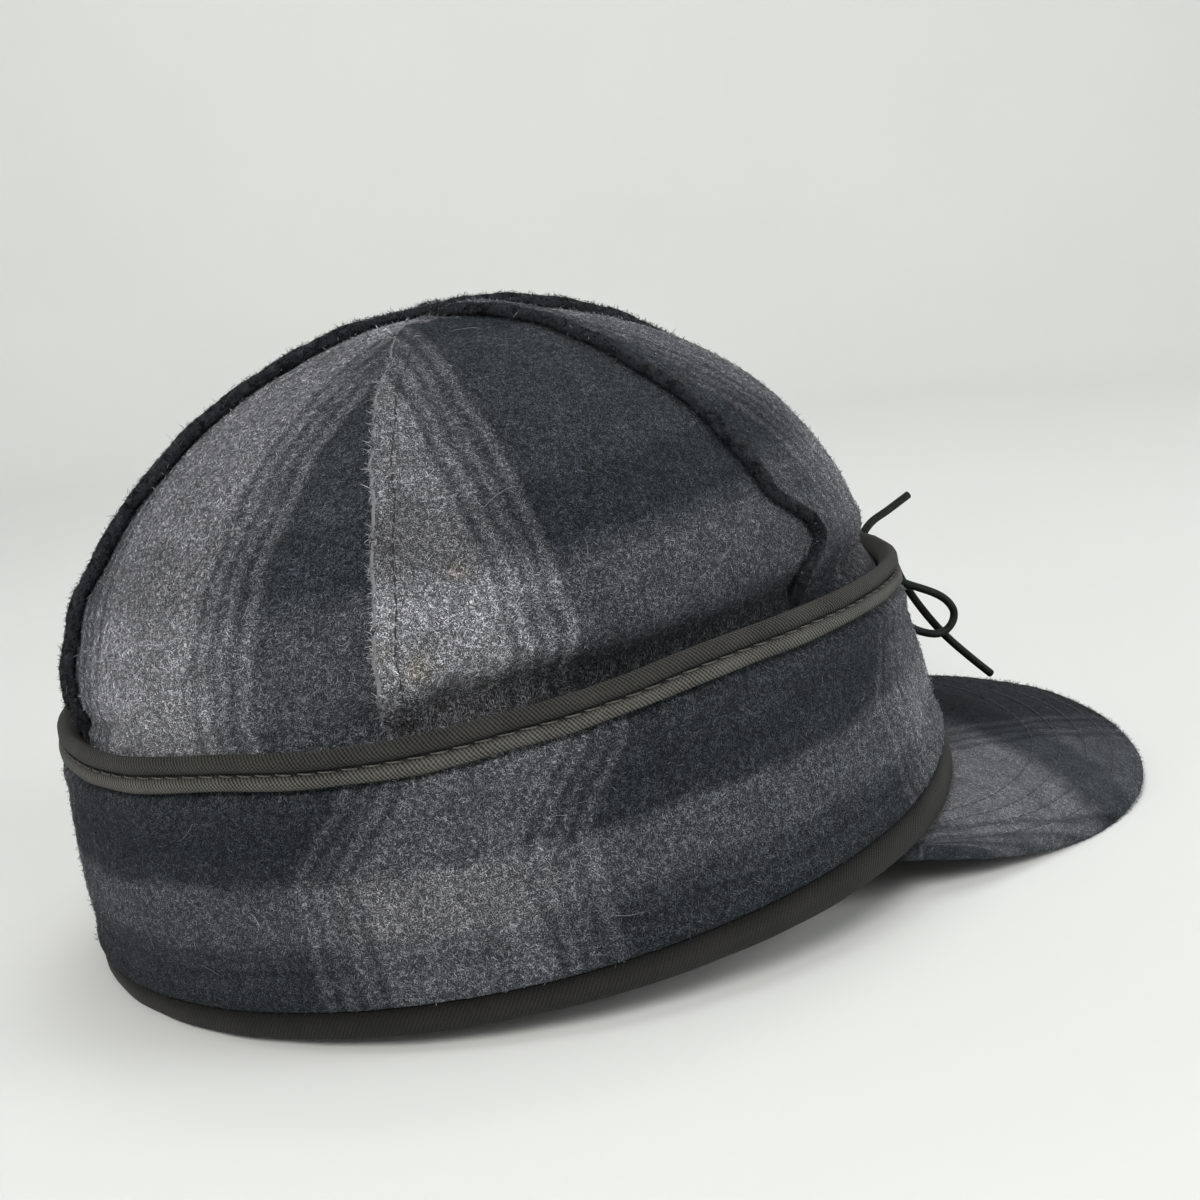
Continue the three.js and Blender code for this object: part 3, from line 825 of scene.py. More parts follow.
def addRing(name, node, outs, heights, across, columnMaterials, materials):
    # outs, heights and across are tables with a row for each angle and a column for each
    # point of the closed section.
    points = bandPoint(ringAngles[:, None], heights, outs)
    points[-1] = points[0]
    uv = np.stack(np.broadcast_arrays(girths[:, None], across), -1)
    return addSkin(name, node, points, uv, materials, columnMaterials, closedRows=True)


# Where the rim binding's top edge lies, by the distance round from the front centre
bindingTop = {"from": (0, 40, 60, 100, 190, 400), "height": (13.4, 13.4, 12.4, 9.7, 8.0, 7.8)}
# lip: the cloth's swelling over the binding, by the height above the binding's edge
earband = {
    "lip": [
        (-1.2, 0.0), (-0.5, 0.0), (0.0, 0.1), (0.35, 0.75), (0.8, 1.15), (1.4, 1.3), (2.2, 1.15),
        (3.3, 0.8), (4.8, 0.4), (6.8, 0.12),
    ],
    "lipScale": 1.35 / 1.3, "creaseHeight": 34.5, "creaseDepth": 0.55, "creaseWidth": 0.75, "swell": 0.45,
    "thickness": 2.0, "topInset": 3.2, "rimInset": 0.6, "puff": (0.9, 10.8, 1.9), "pinch": (1.25, 7.7, 0.95),
    "warp": 68.5, "skew": (35, 0.8),
    "shades": (0.0155, 0.073, 0.068, 0.138),
    "weftChart": (
        (0, 0.06), (8, 0.1), (12, 0.16), (13.4, 0.3), (15, 0.28), (16.4, 0.14), (18, 0.46), (19.6, 0.34),
        (21, 0.6), (23, 0.92), (27, 1.0), (33.2, 0.95), (34.6, 0.5), (36, 0.16), (38, 0.22), (41, 0.1),
        (44, 0.14), (47, 0.26), (49, 0.2), (51, 0.3), (54, 0.22), (62, 0.16),
    ),
}
# The sewn casing wanders up and down the earband's top by a millimetre or so.
casingWander = {
    "from": (0, 60, 97, 113, 126, 138, 148, 162, 178, 190, 200, 209, 229, 240, 252, 265, 280, 312,
             350, 390, 430, 470, 510, 550, 590, 624),
    "rise": (-0.8, -0.8, -0.6, -0.1, 0.2, 0.6, 0.5, -0.4, -1.0, -1.1, -1.6, -1.9, -1.8, -1.2, -0.7, -1.0,
             -1.6, -1.2, -0.9, -1.6, -1.0, -0.3, -0.6, -1.4, -1.1, -0.8),
}


def bindingEdge():
    half = girths[-1] / 2
    return np.interp(half - np.abs(girths - half), bindingTop["from"], bindingTop["height"])[:, None]


def wanderRise():
    # How far the casing's folded top strays from the earband's top line, smoothed.
    rises = [np.interp(np.mod(girths + step, girths[-1]), casingWander["from"], casingWander["rise"])
             for step in range(-4, 5)]
    return np.mean(rises, 0)


casingRise = wanderRise()
casingTop = (bandTop(ringAngles) + casingRise)[:, None]


def creaseLine(angles):
    u = angles * 99
    return earband["creaseHeight"] + 0.7 * np.sin(u / 23) + 0.3 * np.sin(u / 6.1)


def bandRelief(angles, heights):
    # Slow swells of the folded cloth and the pressed crease round its middle.
    u = angles * 99
    swell = np.sin(u / 17 + np.sin(heights / 14)) * np.sin(heights / 11 + 1.7 * np.sin(u / 37))
    swell += 0.6 * np.sin(u / 9.3 + heights / 8) * np.sin(heights / 17 + 1)
    inner = np.sin(np.clip((heights - 8) / (50 - 8), 0, 1) * np.pi)
    crease = bell(heights, creaseLine(angles), earband["creaseWidth"]) * (0.75 + 0.25 * np.sin(u / 13))
    return earband["swell"] * swell * inner - earband["creaseDepth"] * crease


def addEarband():
    edge = bindingEdge()
    low = band["height"][0] + earband["rimInset"]
    high = casingTop - earband["topInset"]
    above, lip = np.array(earband["lip"]).T
    climb = 1 - (1 - np.linspace(0, 1, 31)[1:]) ** 1.5
    heights = np.concatenate([low + 0 * edge, edge + above, mix(edge + above[-1], high, climb)], 1)
    outs = np.concatenate([[0], lip * earband["lipScale"], 0 * climb])
    outs = outs + bandRelief(ringAngles[:, None], heights) * smoothStep(2, 9, heights - edge)
    # Just below the casing the cloth puffs out, then it is held flat under the casing.
    below = casingTop - heights
    puff, pinch = [size * bell(below, at, width) for size, at, width in (earband["puff"], earband["pinch"])]
    outs = outs * smoothStep(7.8, 11, below) + puff - pinch
    back = mix(high, low, np.arange(9) / 8)
    section = np.concatenate([heights, back, heights[:, :1]], 1)
    depths = np.concatenate([outs, 0 * back - earband["thickness"], outs[:, :1]], 1)
    columns = heights.shape[1]
    materials = [woolMaterial("earbandWool", earband), insideWool]
    piece = addRing("earbandCloth", "earband", depths, section, section,
                    {1: range(columns, columns + 8)}, materials)
    points = bandPoint(ringAngles[:, None], heights, outs)
    uv = np.stack(np.broadcast_arrays(girths[:, None], heights), -1)
    return {"points": points, "uv": uv, "edge": edge}


casingLook = {
    "section": [
        (0.3, -6.5), (0.65, -6.98), (1.1, -6.95), (1.5, -6.45), (1.72, -5.7), (1.68, -4.95), (1.3, -4.35),
        (0.62, -3.9), (0.7, -3.55), (1.45, -3.1), (1.95, -2.4), (2.1, -1.5), (1.9, -0.75), (1.4, -0.2),
        (0.75, 0.0), (0.1, -0.15), (-0.6, -0.55), (-1.4, -1.15), (-2.2, -1.8), (-2.85, -2.6), (-3.1, -3.6),
        (-3.1, -6.2), (-2.75, -6.8), (-2.35, -6.4), (-2.3, -4.4), (-2.1, -3.3), (-1.2, -2.6), (-0.3, -2.3),
        (0.3, -2.6), (0.3, -4.5), (0.3, -6.5),
    ],
    "wave": 0.16,
    # Painted shade: the lower roll's underside, the groove between the rolls and the whole upper roll are
    # darkened.
    "paintedShade": [
        (0.0, 0.25), (0.8, 0.7), (1.7, 1.0), (3.2, 1.0), (3.9, 0.78), (4.4, 0.3), (4.7, 0.12),
        (5.1, 0.12), (5.5, 0.24), (6.1, 0.39), (7.5, 0.44), (9.0, 0.39), (12.0, 0.3),
    ],
}
bindingLook = {
    "outer": [
        (0.0, 1.0), (0.2, 1.0), (0.45, 0.96), (0.95, 0.84), (1.35, 0.6), (1.5, 0.34), (1.38, 0.14),
    ],
    # Painted shade along the binding's top under the wool lip, and painted light on its lower, rounded part.
    "paintedShade": [(0.0, 0.35), (1.0, 0.5), (2.2, 1.0), (4.0, 1.45), (12.0, 1.3)],
    "wrap": [
        (1.1, -0.1), (0.7, -0.45), (0.1, -0.68), (-0.9, -0.7), (-1.9, -0.7), (-2.5, -0.5), (-2.95, 0.1),
        (-3.1, 0.9), (-3.1, 3.2), (-3.1, 5.6), (-2.7, 6), (-2.3, 5.6), (-2.3, 3), (-2.3, 0.6), (-1, 0.3),
        (0.3, 0.3), (0.3, 3),
    ],
}


def roundTheCap(section):
    # A section's distances out and up, each repeated for every angle.
    return np.array(section).T[:, None] + 0 * girths[:, None]


def addCasing(material):
    outs, ups = roundTheCap(casingLook["section"])
    proud = casingLook["wave"] * (0.5 * np.sin(girths / 7.3) + 0.5 * np.sin(girths / 3.1 + 1))
    outs = outs + (outs > 0.5) * proud[:, None]
    ups = ups + (0.12 * np.sin(girths / 11.7) + 0.1 * np.sin(girths / 4.9))[:, None] * (ups < -5)
    heights = casingTop + ups
    across = runningLength(np.array(casingLook["section"]))[None]
    piece = addRing("earbandCasing", "earband_casing", outs, heights, across, {}, [material])


def addRimBinding(material):
    rim = band["height"][0]
    outer, wrap = roundTheCap(bindingLook["outer"]), roundTheCap(bindingLook["wrap"])
    outer[1] = outer[1] * (bindingEdge() - rim)
    outs, ups = np.concatenate([outer, wrap, outer[..., :1]], -1)
    wave = 0.1 * np.sin(girths / 6.7) + 0.08 * np.sin(girths / 2.9)
    outs = outs + (outs > 0.5) * wave[:, None]
    across = runningLength(np.stack([outs, ups], -1), 1)
    piece = addRing("earbandRimBinding", "earband_rim_binding", outs, rim + ups, across,
                    {}, [material])


# Bill: ruled from the rim's inner side to its outer edge, with a camber, as a thick covered sheet
bill = {
    "edge": [
        (0, 0, 162.8, 14.3), (13, 31.5, 157.8, 15.3), (24, 53.3, 147, 16.6), (34, 69.3, 130.2, 17.4),
        (44, 79.3, 109, 16.2), (52, 83.6, 86, 11.8), (57, 85.2, 68, 6), (60, 84.2, 56, 1.6),
    ],
    "thickness": 3.6, "edgeThickness": 2.4, "camber": 2.4, "rootInset": 3.4, "rootHeight": -0.3,
    "columns": 110, "stitchRows": (9, 16.5, 24, 31.5), "stitchDepth": 0.28, "stitchWidth": 0.9,
    "warp": 60.0, "weft": 79.0, "shades": (0.0075, 0.044, 0.042, 0.138), "grain": 0.6,
}


def smoothCurve(rows, shares):
    # The same centripetal curve as the solid's, through rows at even shares of its parameter.
    rows = np.asarray(rows, float)
    count = len(rows) - 1
    found = []
    for share in shares:
        at = min(share * count, count - 1e-9)
        index = int(at)
        weight = at - index
        b, c = rows[index], rows[index + 1]
        a = rows[index - 1] if index else 2 * b - c
        d = rows[index + 2] if index + 2 <= count else 2 * c - b
        spans = [max(float(np.sum((q - p) ** 2)) ** 0.25, 1e-4) for p, q in ((a, b), (b, c), (c, d))]
        first = ((b - a) / spans[0] - (c - a) / (spans[0] + spans[1]) + (c - b) / spans[1]) * spans[1]
        last = ((c - b) / spans[1] - (d - b) / (spans[1] + spans[2]) + (d - c) / spans[2]) * spans[1]
        w2, w3 = weight * weight, weight ** 3
        found.append(b + first * weight + (-3 * b + 3 * c - 2 * first - last) * w2
                     + (2 * b - 2 * c + first + last) * w3)
    return np.array(found)


def billFrame():
    right = [(-angle, (side, -forward, -drop)) for angle, side, forward, drop in bill["edge"][1:]][::-1]
    left = [(angle, (-side, -forward, -drop)) for angle, side, forward, drop in bill["edge"]]
    rows = right + left
    shares = np.linspace(0, 1, bill["columns"])
    edge = smoothCurve([point for _, point in rows], shares)
    angles = smoothCurve([(angle, 0, 0) for angle, _ in rows], shares)[:, 0]
    rim = band["height"][0]
    root = bandPoint(np.radians(angles), np.full_like(angles, rim), -bill["rootInset"])
    root[:, 2] = bill["rootHeight"]
    return shares, root, edge


def billMiddle(across):
    shares, root, edge = billFrame()
    across = np.asarray(across)[:, None, None]
    middle = mix(root[None], edge[None], across)
    middle[..., 2] += bill["camber"] * 4 * (across * (1 - across))[..., 0] * np.sin(np.pi * shares)
    return middle


def billCut(points):
    # The bill's cloth laid flat: lengths over its arch from the middle, and depths to the front.
    run = runningLength(points[..., [0, 2]])
    middle = (run[len(run) // 2] + run[(len(run) - 1) // 2]) / 2
    sign = np.sign(points[-1:, :, 0] - points[:1, :, 0])
    return np.stack([-sign * (run - middle), -points[..., 1]], -1)


def addBill():
    across = np.append(np.linspace(0, 0.9, 34), 1 - 0.1 * np.cos(np.linspace(0.12, 0.5, 8) * np.pi))
    across = across / across[-1]
    middle = billMiddle(across)
    fromEdge = np.linalg.norm(middle - middle[-1:], axis=-1)
    rounding = np.sqrt(np.clip(1 - (1 - np.clip(fromEdge / 1.3, 0, 1)) ** 2, 0, 1))
    thickness = mix(bill["thickness"], bill["edgeThickness"], smoothStep(0.86, 1, across))[:, None]
    half = thickness / 2 * (0.12 + 0.88 * rounding)
    half[-1] = 0.0
    grooves = sum(bell(fromEdge, row, bill["stitchWidth"]) for row in bill["stitchRows"])
    grooves = grooves * bill["stitchDepth"]
    swell = 0.18 * np.sin(middle[..., 0] / 7.1 + middle[..., 1] / 19) * np.sin(middle[..., 1] / 8.3)
    top, bottom = middle.copy(), middle.copy()
    top[..., 2] += half - grooves + swell * (half > 0)
    bottom[..., 2] -= half - grooves * 0.6
    bottom[-1] = top[-1] = middle[-1]
    points, centres = [np.concatenate([over, under[-2::-1], over[:1]]).transpose(1, 0, 2)
                       for over, under in ((top, bottom), (middle, middle))]
    outward = unit(middle[-1] - middle[-6])[:, None, :2]
    uv = billCut(points) - outward * (centres - points)[..., 2:] * 1.5
    piece = addSkin("billCloth", "bill", points, uv, [woolMaterial("billWool", bill)], {})
    return {"top": top, "bottom": bottom}


earbandSkin = addEarband()
addCasing(twillMaterial("oliveTwill", (0.004, 0.004, 0.0035), (0.112, 0.109, 0.096), 0.55,
                        twill["depth"], casingLook["paintedShade"]))
addRimBinding(twillMaterial("charcoalTwill", (0.0068, 0.0068, 0.0062), (0.024, 0.0225, 0.0195), 0.3,
                            twill["depth"] * 0.3, bindingLook["paintedShade"]))
billSkin = addBill()
print("earband, casing, binding and bill made")

# Strands: stitches, frayed ends and the wool's nap, as closed spindles joined into one mesh a piece


def addStrands(name, material, paths, radii, faceUp, sides, roots=None, tones=None, pales=None):
    # paths: for each strand its points from tip to tip; radii: the thickness at the points between.
    paths = onFloor(paths)
    paths[..., 2] = np.maximum(paths[..., 2], 0.0001)
    count, rings = len(paths), paths.shape[1] - 2
    radii = (radii * np.ones((count, rings)) * millimetre)[..., None, None]
    along = unit(paths[:, 2:] - paths[:, :-2])
    sideways = unit(np.cross(along, turnOnly(faceUp)[:, None, :]))
    upwards = np.cross(sideways, along)
    turns = np.arange(sides)[:, None] * 2 * np.pi / sides
    around = sideways[:, :, None] * (np.cos(turns) * radii) + upwards[:, :, None] * (np.sin(turns) * radii)
    around = (paths[:, 1:-1, None] + around).reshape(count, rings * sides, 3)
    points = np.concatenate([paths[:, :1], around, paths[:, -1:]], 1)
    size = points.shape[1]
    last = size - 1 - sides
    faces = []
    for side in range(sides):
        after = (side + 1) % sides
        faces.append((0, 1 + after, 1 + side))
        for start in range(1, last, sides):
            a, b = start + side, start + after
            faces += [(a, b, b + sides), (a, b + sides, a + sides)]
        faces.append((last + side, last + after, size - 1))
    corners = (np.array(faces) + (np.arange(count) * size)[:, None, None]).ravel()
    mesh = bpy.data.meshes.new(name)
    mesh.vertices.add(count * size)
    mesh.vertices.foreach_set("co", points.astype(np.float32).ravel())
    mesh.loops.add(len(corners))
    mesh.loops.foreach_set("vertex_index", corners.astype(np.int32))
    mesh.polygons.add(len(corners) // 3)
    mesh.polygons.foreach_set("loop_start", np.arange(0, len(corners), 3, dtype=np.int32))
    mesh.update(calc_edges=True)
    if roots is not None:
        columns = math.ceil(math.sqrt(count))
        cell = np.stack(np.divmod(np.arange(count), columns)[::-1], -1)
        corner = np.tile([(0.2, 0.2), (0.8, 0.2), (0.5, 0.8)], (len(faces), 1))
        baked = (cell[:, None] + corner) / columns
        cut = np.repeat(roots * millimetre, len(faces) * 3, 0)
        for label, layout in (("cut", cut), ("OFBake", baked)):
            mesh.uv_layers.new(name=label).uv.foreach_set("vector", layout.astype(np.float32).ravel())
    for label, values in (("tone", tones), ("pale", pales)):
        if values is not None:
            layer = mesh.attributes.new(label, "FLOAT", "POINT")
            layer.data.foreach_set("value", np.repeat(values, size).astype(np.float32))
    mesh.polygons.foreach_set("use_smooth", np.ones(len(corners) // 3, bool))
    mesh.materials.append(material)
    piece = addObject(name, mesh)
    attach(piece, "root")


# How the wool's fibres lie, by kind: the nap, the upright fuzz along the bill's edge, the matted
# raw edges, and the long loose hairs and lint. pale: the share of pale fibres, and how pale.
nap = {
    "length": (0.6, 1.95), "radius": (0.045, 0.085), "lift": (0.05, 0.35), "curl": 0.65,
    "standing": 0.08, "standingLift": (0.5, 1.2), "pale": (0.012, 0.5),
    "stops": ((0.0, -0.12), (0.5, 1.0), (1.0, 0.4)),
}
edgeNap = {**nap, "standing": 0.55, "standingLift": (0.3, 1.2)}
mattedNap = {
    **nap, "length": (0.5, 1.7), "lift": (0.1, 0.6), "curl": 1.2,
    "standing": 0.4, "standingLift": (0.4, 1.3),
}
looseHair = {
    "length": (3.0, 8.5), "radius": (0.035, 0.06), "lift": (0.15, 0.8), "curl": 1.5,
    "standing": 0.12, "standingLift": (0.8, 1.8), "pale": (0.5, 0.5),
    "stops": ((0.0, -0.1), (0.2, 0.6), (0.4, 1.0), (0.6, 0.9), (0.8, 0.8), (1.0, 0.3)),
}
napCounts = {
    "panel": 11400, "matted": 3600, "band": 24500, "billTop": 6000, "billUnder": 3000, "billEdge": 3000,
    "panelHairs": 18, "bandHairs": 90,
}


def pickRoots(points, uv, outwardFrom, count, keep):
    # Random places on a patch, even by area: their points, their places on the cut cloth, the
    # outward normals and the directions across.
    corner = points[:-1, :-1]
    across = points[:-1, 1:] - corner
    upward = points[1:, :-1] - corner
    normal = np.cross(across, upward)
    weight = np.linalg.norm(normal, axis=-1)
    if np.sum(normal * (corner - outwardFrom)) < 0:
        normal = -normal
    weight = (weight * keep).ravel()
    cells = dice.choice(len(weight), size=count, p=weight / weight.sum())
    row, column = np.unravel_index(cells, corner.shape[:2])
    s, t = dice.random((2, count, 1))
    roots = corner[row, column] + across[row, column] * s + upward[row, column] * t
    low = mix(uv[row, column], uv[row, column + 1], s)
    high = mix(uv[row + 1, column], uv[row + 1, column + 1], s)
    return roots, mix(low, high, t), unit(normal[row, column]), unit(across[row, column])


def napPaths(roots, normals, tangents, look):
    count = len(roots)
    turn = dice.random((count, 1)) * 2 * np.pi
    forward = tangents * np.cos(turn) + np.cross(normals, tangents) * np.sin(turn)
    bend = (dice.random((count, 1)) - 0.5) * 2 * look["curl"]
    across = np.cross(normals, forward)
    length = mix(*look["length"], dice.random((count, 1)) ** 1.6)
    lift = mix(*look["lift"], dice.random((count, 1)) ** 2)
    standing = dice.random((count, 1)) < look["standing"]
    high = mix(*look["standingLift"], dice.random((count, 1)))
    stops = []
    for share, rise in look["stops"]:
        tall = np.where(standing, high * share, lift * rise if share else rise)
        reach = length * (share - 0.5) * np.where(standing, 0.55, 1.0)
        stops.append(roots + normals * tall + forward * reach + across * bend * length * (share * share))
    return np.stack(stops, 1)


def growNap(name, material, patch, outwardFrom, count, look=nap, keep=1.0):
    # patch holds points and their places on the cut cloth; keep weighs its cells.
    roots, uv, normals, tangents = pickRoots(*patch, outwardFrom, count, keep)
    paths = napPaths(roots, normals, tangents, look)
    radii = mix(*look["radius"], dice.random((count, 1)))
    pales = (dice.random(count) < look["pale"][0]) * dice.random(count) * look["pale"][1]
    # A few dark hairs, many middling ones and some bright ones.
    tones = np.exp(dice.normal(0.5, 0.72, count)).clip(0.25, 5.2)
    addStrands(name, material, paths, radii, normals, 3, uv, tones, pales)
    print(f"{name}: {count} fibres")


crownCentre = (0, crown["shift"], 30)
bandCentre = (0, 3, 30)


def growAllNap():
    for panel, skin in zip(panels, crownSkins):
        low, high = panel["matted"]
        lowOver, highOver = panel["over"]
        seen = (skin["heights"][:-1, None] > crown["napFrom"]).astype(float)
        keep = seen + 0 * skin["uv"][:-1, :-1, 0]
        keep[:, :low if lowOver else crown["napInset"]] = 0
        if high or not highOver:
            keep[:, -(high or crown["napInset"]):] = 0
        growNap(panel["name"] + "Nap", woolMaterial(panel["name"] + "Nap", panel, fibre=True),
                (skin["points"], skin["uv"]), crownCentre, napCounts["panel"], keep=keep)
        for end, matted in enumerate((low, high)):
            if matted:
                growNap(f"{panel['name']}Matted{end}", rawEdges["dark"], skin["ends"][end],
                        crownCentre, napCounts["matted"], mattedNap, seen)
    heights = earbandSkin["uv"][..., 1]
    seen = (heights > earbandSkin["edge"] + 0.2) & (heights < casingTop - 6.6)
    crease = np.abs(heights - creaseLine(ringAngles)[:, None]) < 0.8
    growNap("earbandNap", woolMaterial("earbandNap", earband, fibre=True),
            (earbandSkin["points"], earbandSkin["uv"]), bandCentre, napCounts["band"],
            keep=(seen & ~crease)[:-1, :-1])
    material = woolMaterial("billNap", bill, fibre=True)
    top, bottom = billSkin["top"], billSkin["bottom"]
    uv = billCut(top.transpose(1, 0, 2)).transpose(1, 0, 2)
    rim = [np.concatenate([over[-4:], under[-2:-5:-1]]) for over, under in ((top, bottom), (uv, uv))]
    for part, patch, outwardFrom, look in (
            ("billTop", (top, uv), (0, -100, -300), nap),
            ("billUnder", (bottom, uv), (0, -100, 300), nap),
            ("billEdge", rim, (0, -90, -12), edgeNap)):
        growNap(part + "Nap", material, patch, outwardFrom, napCounts[part], look)


def growLooseHairs():
    for panel, skin in zip(panels, crownSkins):
        growNap(panel["name"] + "LooseHairs", bpy.data.materials[panel["name"] + "Nap"],
                (skin["points"], skin["uv"]), crownCentre, napCounts["panelHairs"], looseHair,
                skin["heights"][:-1, None] > 64)
    growNap("earbandLooseHairs", bpy.data.materials["earbandNap"],
            (earbandSkin["points"], earbandSkin["uv"]), bandCentre, napCounts["bandHairs"], looseHair,
            np.abs(earbandSkin["uv"][:-1, :-1, 1] - 32) < 18)


# Each row of stitches: how far apart and how long they are, how far each stands out between its
# ends and sinks in at them, and how thick it is there and between
stitches = {
    "casing": {"pitch": 4.6, "stray": 0.16, "length": 3.7, "proud": 0.34, "sink": 0.4,
               "radii": (0.135, 0.18), "sides": 6, "up": -4.0, "out": 0.82, "tilt": 0.13},
    "crease": {"pitch": 4.2, "stray": 0.2, "length": 3.0, "proud": 0.12, "sink": 0.3,
               "radii": (0.13, 0.13), "sides": 5},
    "bill": {"pitch": 3.4, "length": 2.7, "from": 2.0, "to": 5.0, "proud": 0.16, "sink": 0.3,
             "radii": (0.15, 0.15), "sides": 5},
    "seam": {"pitch": 3.4, "length": 2.5, "from": 0.5, "to": 4.0, "proud": 0.1, "sink": 0.35,
             "radii": (0.17, 0.17), "sides": 5, "inset": 3.9, "heights": (59.5, 126)},
}


def sew(name, slot, material, look, starts, ends, outward):
    # A stitch dives into the cloth at both ends and lies proud between them.
    stops = [starts - outward * look["sink"]]
    for share, rise in ((0.06, 0.2), (0.28, 0.95), (0.72, 0.95), (0.94, 0.2)):
        stops.append(mix(starts, ends, share) + outward * look["proud"] * rise)
    stops.append(ends - outward * look["sink"])
    radii = np.array(look["radii"] + look["radii"][::-1])
    addStrands(name, material, np.stack(stops, 1), radii, outward, look["sides"])


def stitchRow(line, look):
    # Both ends of each stitch in a row along a line.
    run = runningLength(line)
    starts = np.arange(look["from"], run[-1] - look["to"], look["pitch"])
    return [placesAlong(line, run, starts + shift) for shift in (0, look["length"])]


def ringPlaces(look):
    # The middles of a row's stitches, by their lengths round the earband.
    count = int(girths[-1] / look["pitch"])
    return np.arange(count) * girths[-1] / count + dice.normal(0, look["stray"], count)


def bandOutward(angle, height):
    return unit(bandPoint(angle, height, 1.0) - bandPoint(angle, height))


def addCasingStitches(material):
    look = stitches["casing"]
    places = ringPlaces(look)
    lengths = look["length"] * (1 + dice.normal(0, 0.05, len(places)))
    ends = []
    for side in (-1, 1):
        at = np.mod(places + side * lengths / 2, girths[-1])
        angle = np.interp(at, girths, ringAngles)
        top = bandTop(angle) + np.interp(at, girths, casingRise)
        ends.append(bandPoint(angle, top + look["up"] + side * look["tilt"], look["out"]))
    sew("earbandCasingStitches", "twill_olive", material, look, *ends, bandOutward(angle, top))


def addCreaseStitches(material):
    # Small stitches along the earband's pressed crease.
    look = stitches["crease"]
    places = ringPlaces(look)
    ends = []
    for side in (-0.5, 0.5):
        angle = np.interp(np.mod(places + side * look["length"], girths[-1]), girths, ringAngles)
        height = creaseLine(angle)
        ends.append(bandPoint(angle, height, bandRelief(angle, height) + 0.02))
    sew("earbandCreaseStitches", "wool_dark", material, look, *ends, bandOutward(angle, height))


def addBillStitches(material):
    # Rows of stitches round the bill, in its grooves.
    top = billSkin["top"].transpose(1, 0, 2)
    fromEdge = np.linalg.norm(top - top[:, -1:], axis=-1)
    rows = []
    for row in bill["stitchRows"]:
        line = [placesAlong(points, -away, -row) for points, away in zip(top, fromEdge)]
        rows.append(stitchRow(np.array(line), stitches["bill"]))
    ends = [np.concatenate(part) for part in zip(*rows)]
    sew("billStitches", "wool_grey", material, stitches["bill"], *ends, np.array([[0, 0, 1.0]]))


def addSeamStitches(material):
    # A row of stitches holds each side panel down, a little in from its raw edge.
    look = stitches["seam"]
    for place, end in ((1, 1), (4, 0)):
        skin = crownSkins[place]
        points = skin["points"][:, ::-1] if end else skin["points"]
        lengths = runningLength(points, 1)
        line = np.array([placesAlong(row, run, look["inset"]) for row, run in zip(points, lengths)])
        low, high = look["heights"]
        starts, ends = stitchRow(line[(skin["heights"] > low) & (skin["heights"] < high)], look)
        outward = unit(starts - (0, crown["shift"], 40.0))
        sew(panels[place]["name"] + "Stitches", "wool_dark", material, look, starts, ends, outward)


# Frayed ends along the raw edges: how many to the millimetre, how long, how high they reach
frays = {
    "middle": {"density": 9.0, "length": (0.8, 2.3), "spread": 0.9, "tone": (-1.1, 0.6), "pale": 0.015},
    "front": {"density": 8.0, "length": (0.7, 1.9), "spread": 0.8, "tone": (-1.2, 0.6), "pale": 0.02},
    "side": {"density": 5.0, "length": (0.7, 2.1), "spread": 0.45, "tone": (0.5, 0.5), "pale": 0.16},
}
frayFrom = 59.5
# The frayed edges: the panel's place round the crown, which of its two edges, and how it frays
frayedEdges = [(0, 1, "front"), (1, 1, "side"), (3, 0, "middle"), (4, 0, "side"), (5, 0, "front"),
               (5, 1, "middle")]


def growFrays():
    for place, end, kind in frayedEdges:
        panel, skin, look = panels[place], crownSkins[place], frays[kind]
        top, bottom, uv = [skin[part][:, -end] for part in ("points", "inner", "uv")]
        run = runningLength(top)
        start, finish = np.interp(frayFrom, skin["heights"], run), run[-1]
        if kind == "side":
            finish = run[np.argmax(crownReach(top) < crown["wornFrom"])]
        count = int((finish - start) * look["density"])
        # The ends gather in tufts here and there.
        along = start + (finish - start) * dice.random(count)
        along = along + 0.5 * np.sin(along / 1.3) + dice.normal(0, 0.2, count)
        along = np.clip(along, start, run[-1] - 0.5)
        outward = unit(placesAlong(skin["sides"][end], run, along))
        upper, lower = placesAlong(top, run, along), placesAlong(bottom, run, along)
        normal = unit(upper - lower)
        roots = mix(upper, lower, dice.random((count, 1)) ** 1.3) + outward * 0.55
        forward = outward * (0.5 + dice.random((count, 1)))
        forward = forward + normal * dice.normal(0.25, look["spread"], (count, 1))
        forward = unit(forward + np.cross(outward, normal) * dice.normal(0, 0.9, (count, 1)))
        length = mix(*look["length"], dice.random((count, 1)) ** 1.7)
        curl = unit(dice.normal(0, 1, (count, 3)))
        stops = [roots - forward * 0.35]
        for step, bend in ((0.3, 0.05), (0.7, 0.2), (1.0, 0.42)):
            stops.append(roots + forward * length * step + curl * length * bend)
        radii = mix(0.05, 0.10, dice.random((count, 1))) * (1.0, 0.8)
        tones = np.exp(dice.normal(*look["tone"], count)).clip(0.12, 3.5)
        pales = (dice.random(count) < look["pale"]) * dice.random(count)
        addStrands(f"{panel['name']}Fray{end}", bpy.data.materials[panel["name"] + "Nap"],
                   np.stack(stops, 1), radii, normal, 3, placesAlong(uv, run, along), tones, pales)


growAllNap()
addCasingStitches(threadMaterial("oliveThread", (0.040, 0.039, 0.034), (0.105, 0.102, 0.09)))
growFrays()
blackThread = threadMaterial("blackThread", (0.006, 0.006, 0.007), (0.03, 0.03, 0.032))
addSeamStitches(blackThread)
addCreaseStitches(blackThread)
addBillStitches(threadMaterial("greyThread", (0.020, 0.021, 0.024), (0.075, 0.077, 0.085)))
growLooseHairs()
print("nap grown and stitches sewn")

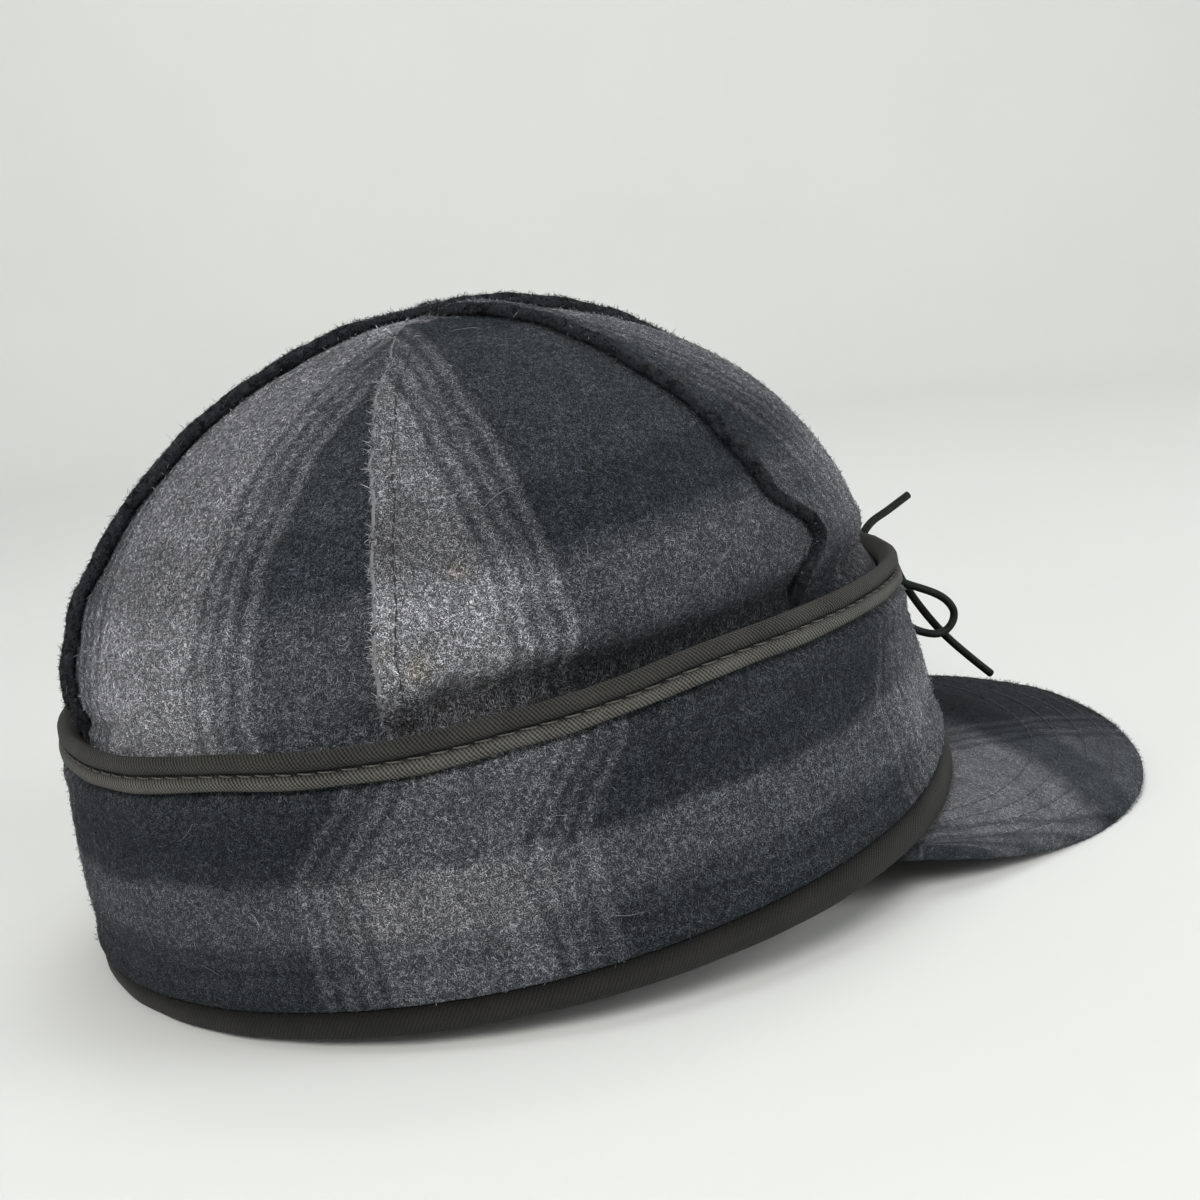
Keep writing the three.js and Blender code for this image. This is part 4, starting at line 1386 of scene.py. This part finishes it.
# Stage: a pale round floor that curves up into a wall
stageLook = {"floor": (0.655, 0.66, 0.64), "radius": 1.7, "curve": 0.7, "height": 1.9, "bends": 12}


def addStage():
    radius, curve = stageLook["radius"], stageLook["curve"]
    profile = [(0.001, 0.0), (0.3, 0.0), (0.8, 0.0), (radius - curve, 0.0)]
    for turn in np.linspace(0, np.pi / 2, stageLook["bends"] + 1)[1:]:
        profile.append((radius - curve + curve * math.sin(turn), curve - curve * math.cos(turn)))
    profile.append((radius, stageLook["height"]))
    bpy.ops.object.select_all(action="DESELECT")
    bpy.ops.mesh.primitive_grid_add(x_subdivisions=64, y_subdivisions=len(profile) - 1, size=2)
    floor = bpy.context.object
    floor.name = "floor"
    for vertex in floor.data.vertices:
        turn = (vertex.co.x + 1) * math.pi
        reach, height = profile[round((vertex.co.y + 1) / 2 * (len(profile) - 1))]
        vertex.co = (reach * math.cos(turn), reach * math.sin(turn), height)
    bpy.ops.object.mode_set(mode="EDIT")
    bpy.ops.mesh.select_all(action="SELECT")
    bpy.ops.mesh.remove_doubles(threshold=0.002)
    bpy.ops.mesh.normals_make_consistent(inside=True)
    bpy.ops.object.mode_set(mode="OBJECT")
    bpy.ops.object.shade_smooth()
    shader = Shader("paleFloor")
    low = tuple(value * 0.97 for value in stageLook["floor"])
    colour = shader.ramp(shader.noise(shader.objectPlace(), 3.0), [(0.3, low), (0.7, stageLook["floor"])])
    floor.data.materials.append(shader.finish(colour, {"Roughness": 0.9, "Specular IOR Level": 0.1}))


# Each light: its name, place, aim, size, power and colour
capMiddle = (0, 0, 0.06)
lights = [
    ("key", (-0.8, 0.6, 0.9), capMiddle, 0.55, 11.2, (1.0, 0.99, 0.97)),
    ("top", (0.0, 0.0, 1.35), capMiddle, 0.9, 5.5, (0.97, 0.99, 1.0)),
    ("window", (-0.75, -0.95, 0.45), capMiddle, 0.7, 9.3, (0.97, 0.985, 1.0)),
    ("rear", (-0.3, 1.05, 0.42), capMiddle, 0.7, 2.4, (0.99, 0.99, 1.0)),
    ("backdrop", (0.55, -0.3, 1.5), (1.6, -0.75, 0.5), 0.6, 9.8, (1.0, 1.0, 1.0)),
]


def addLights():
    world = bpy.data.worlds.new("softRoom")
    world.use_nodes = True
    background = world.node_tree.nodes["Background"]
    background.inputs["Color"].default_value = (0.93, 0.96, 1.0, 1)
    background.inputs["Strength"].default_value = 0.16
    bpy.context.scene.world = world
    for name, place, aim, size, power, colour in lights:
        data = bpy.data.lights.new(name, "AREA")
        data.shape = "DISK"
        data.size = size
        data.energy = power
        data.color = colour
        lamp = addObject(name, data)
        lamp.location = place
        lamp.rotation_euler = (Vector(aim) - Vector(place)).to_track_quat("-Z", "Y").to_euler()
    bpy.context.scene.view_settings.view_transform = "Standard"


addStage()
addLights()
print("stage and lights set")
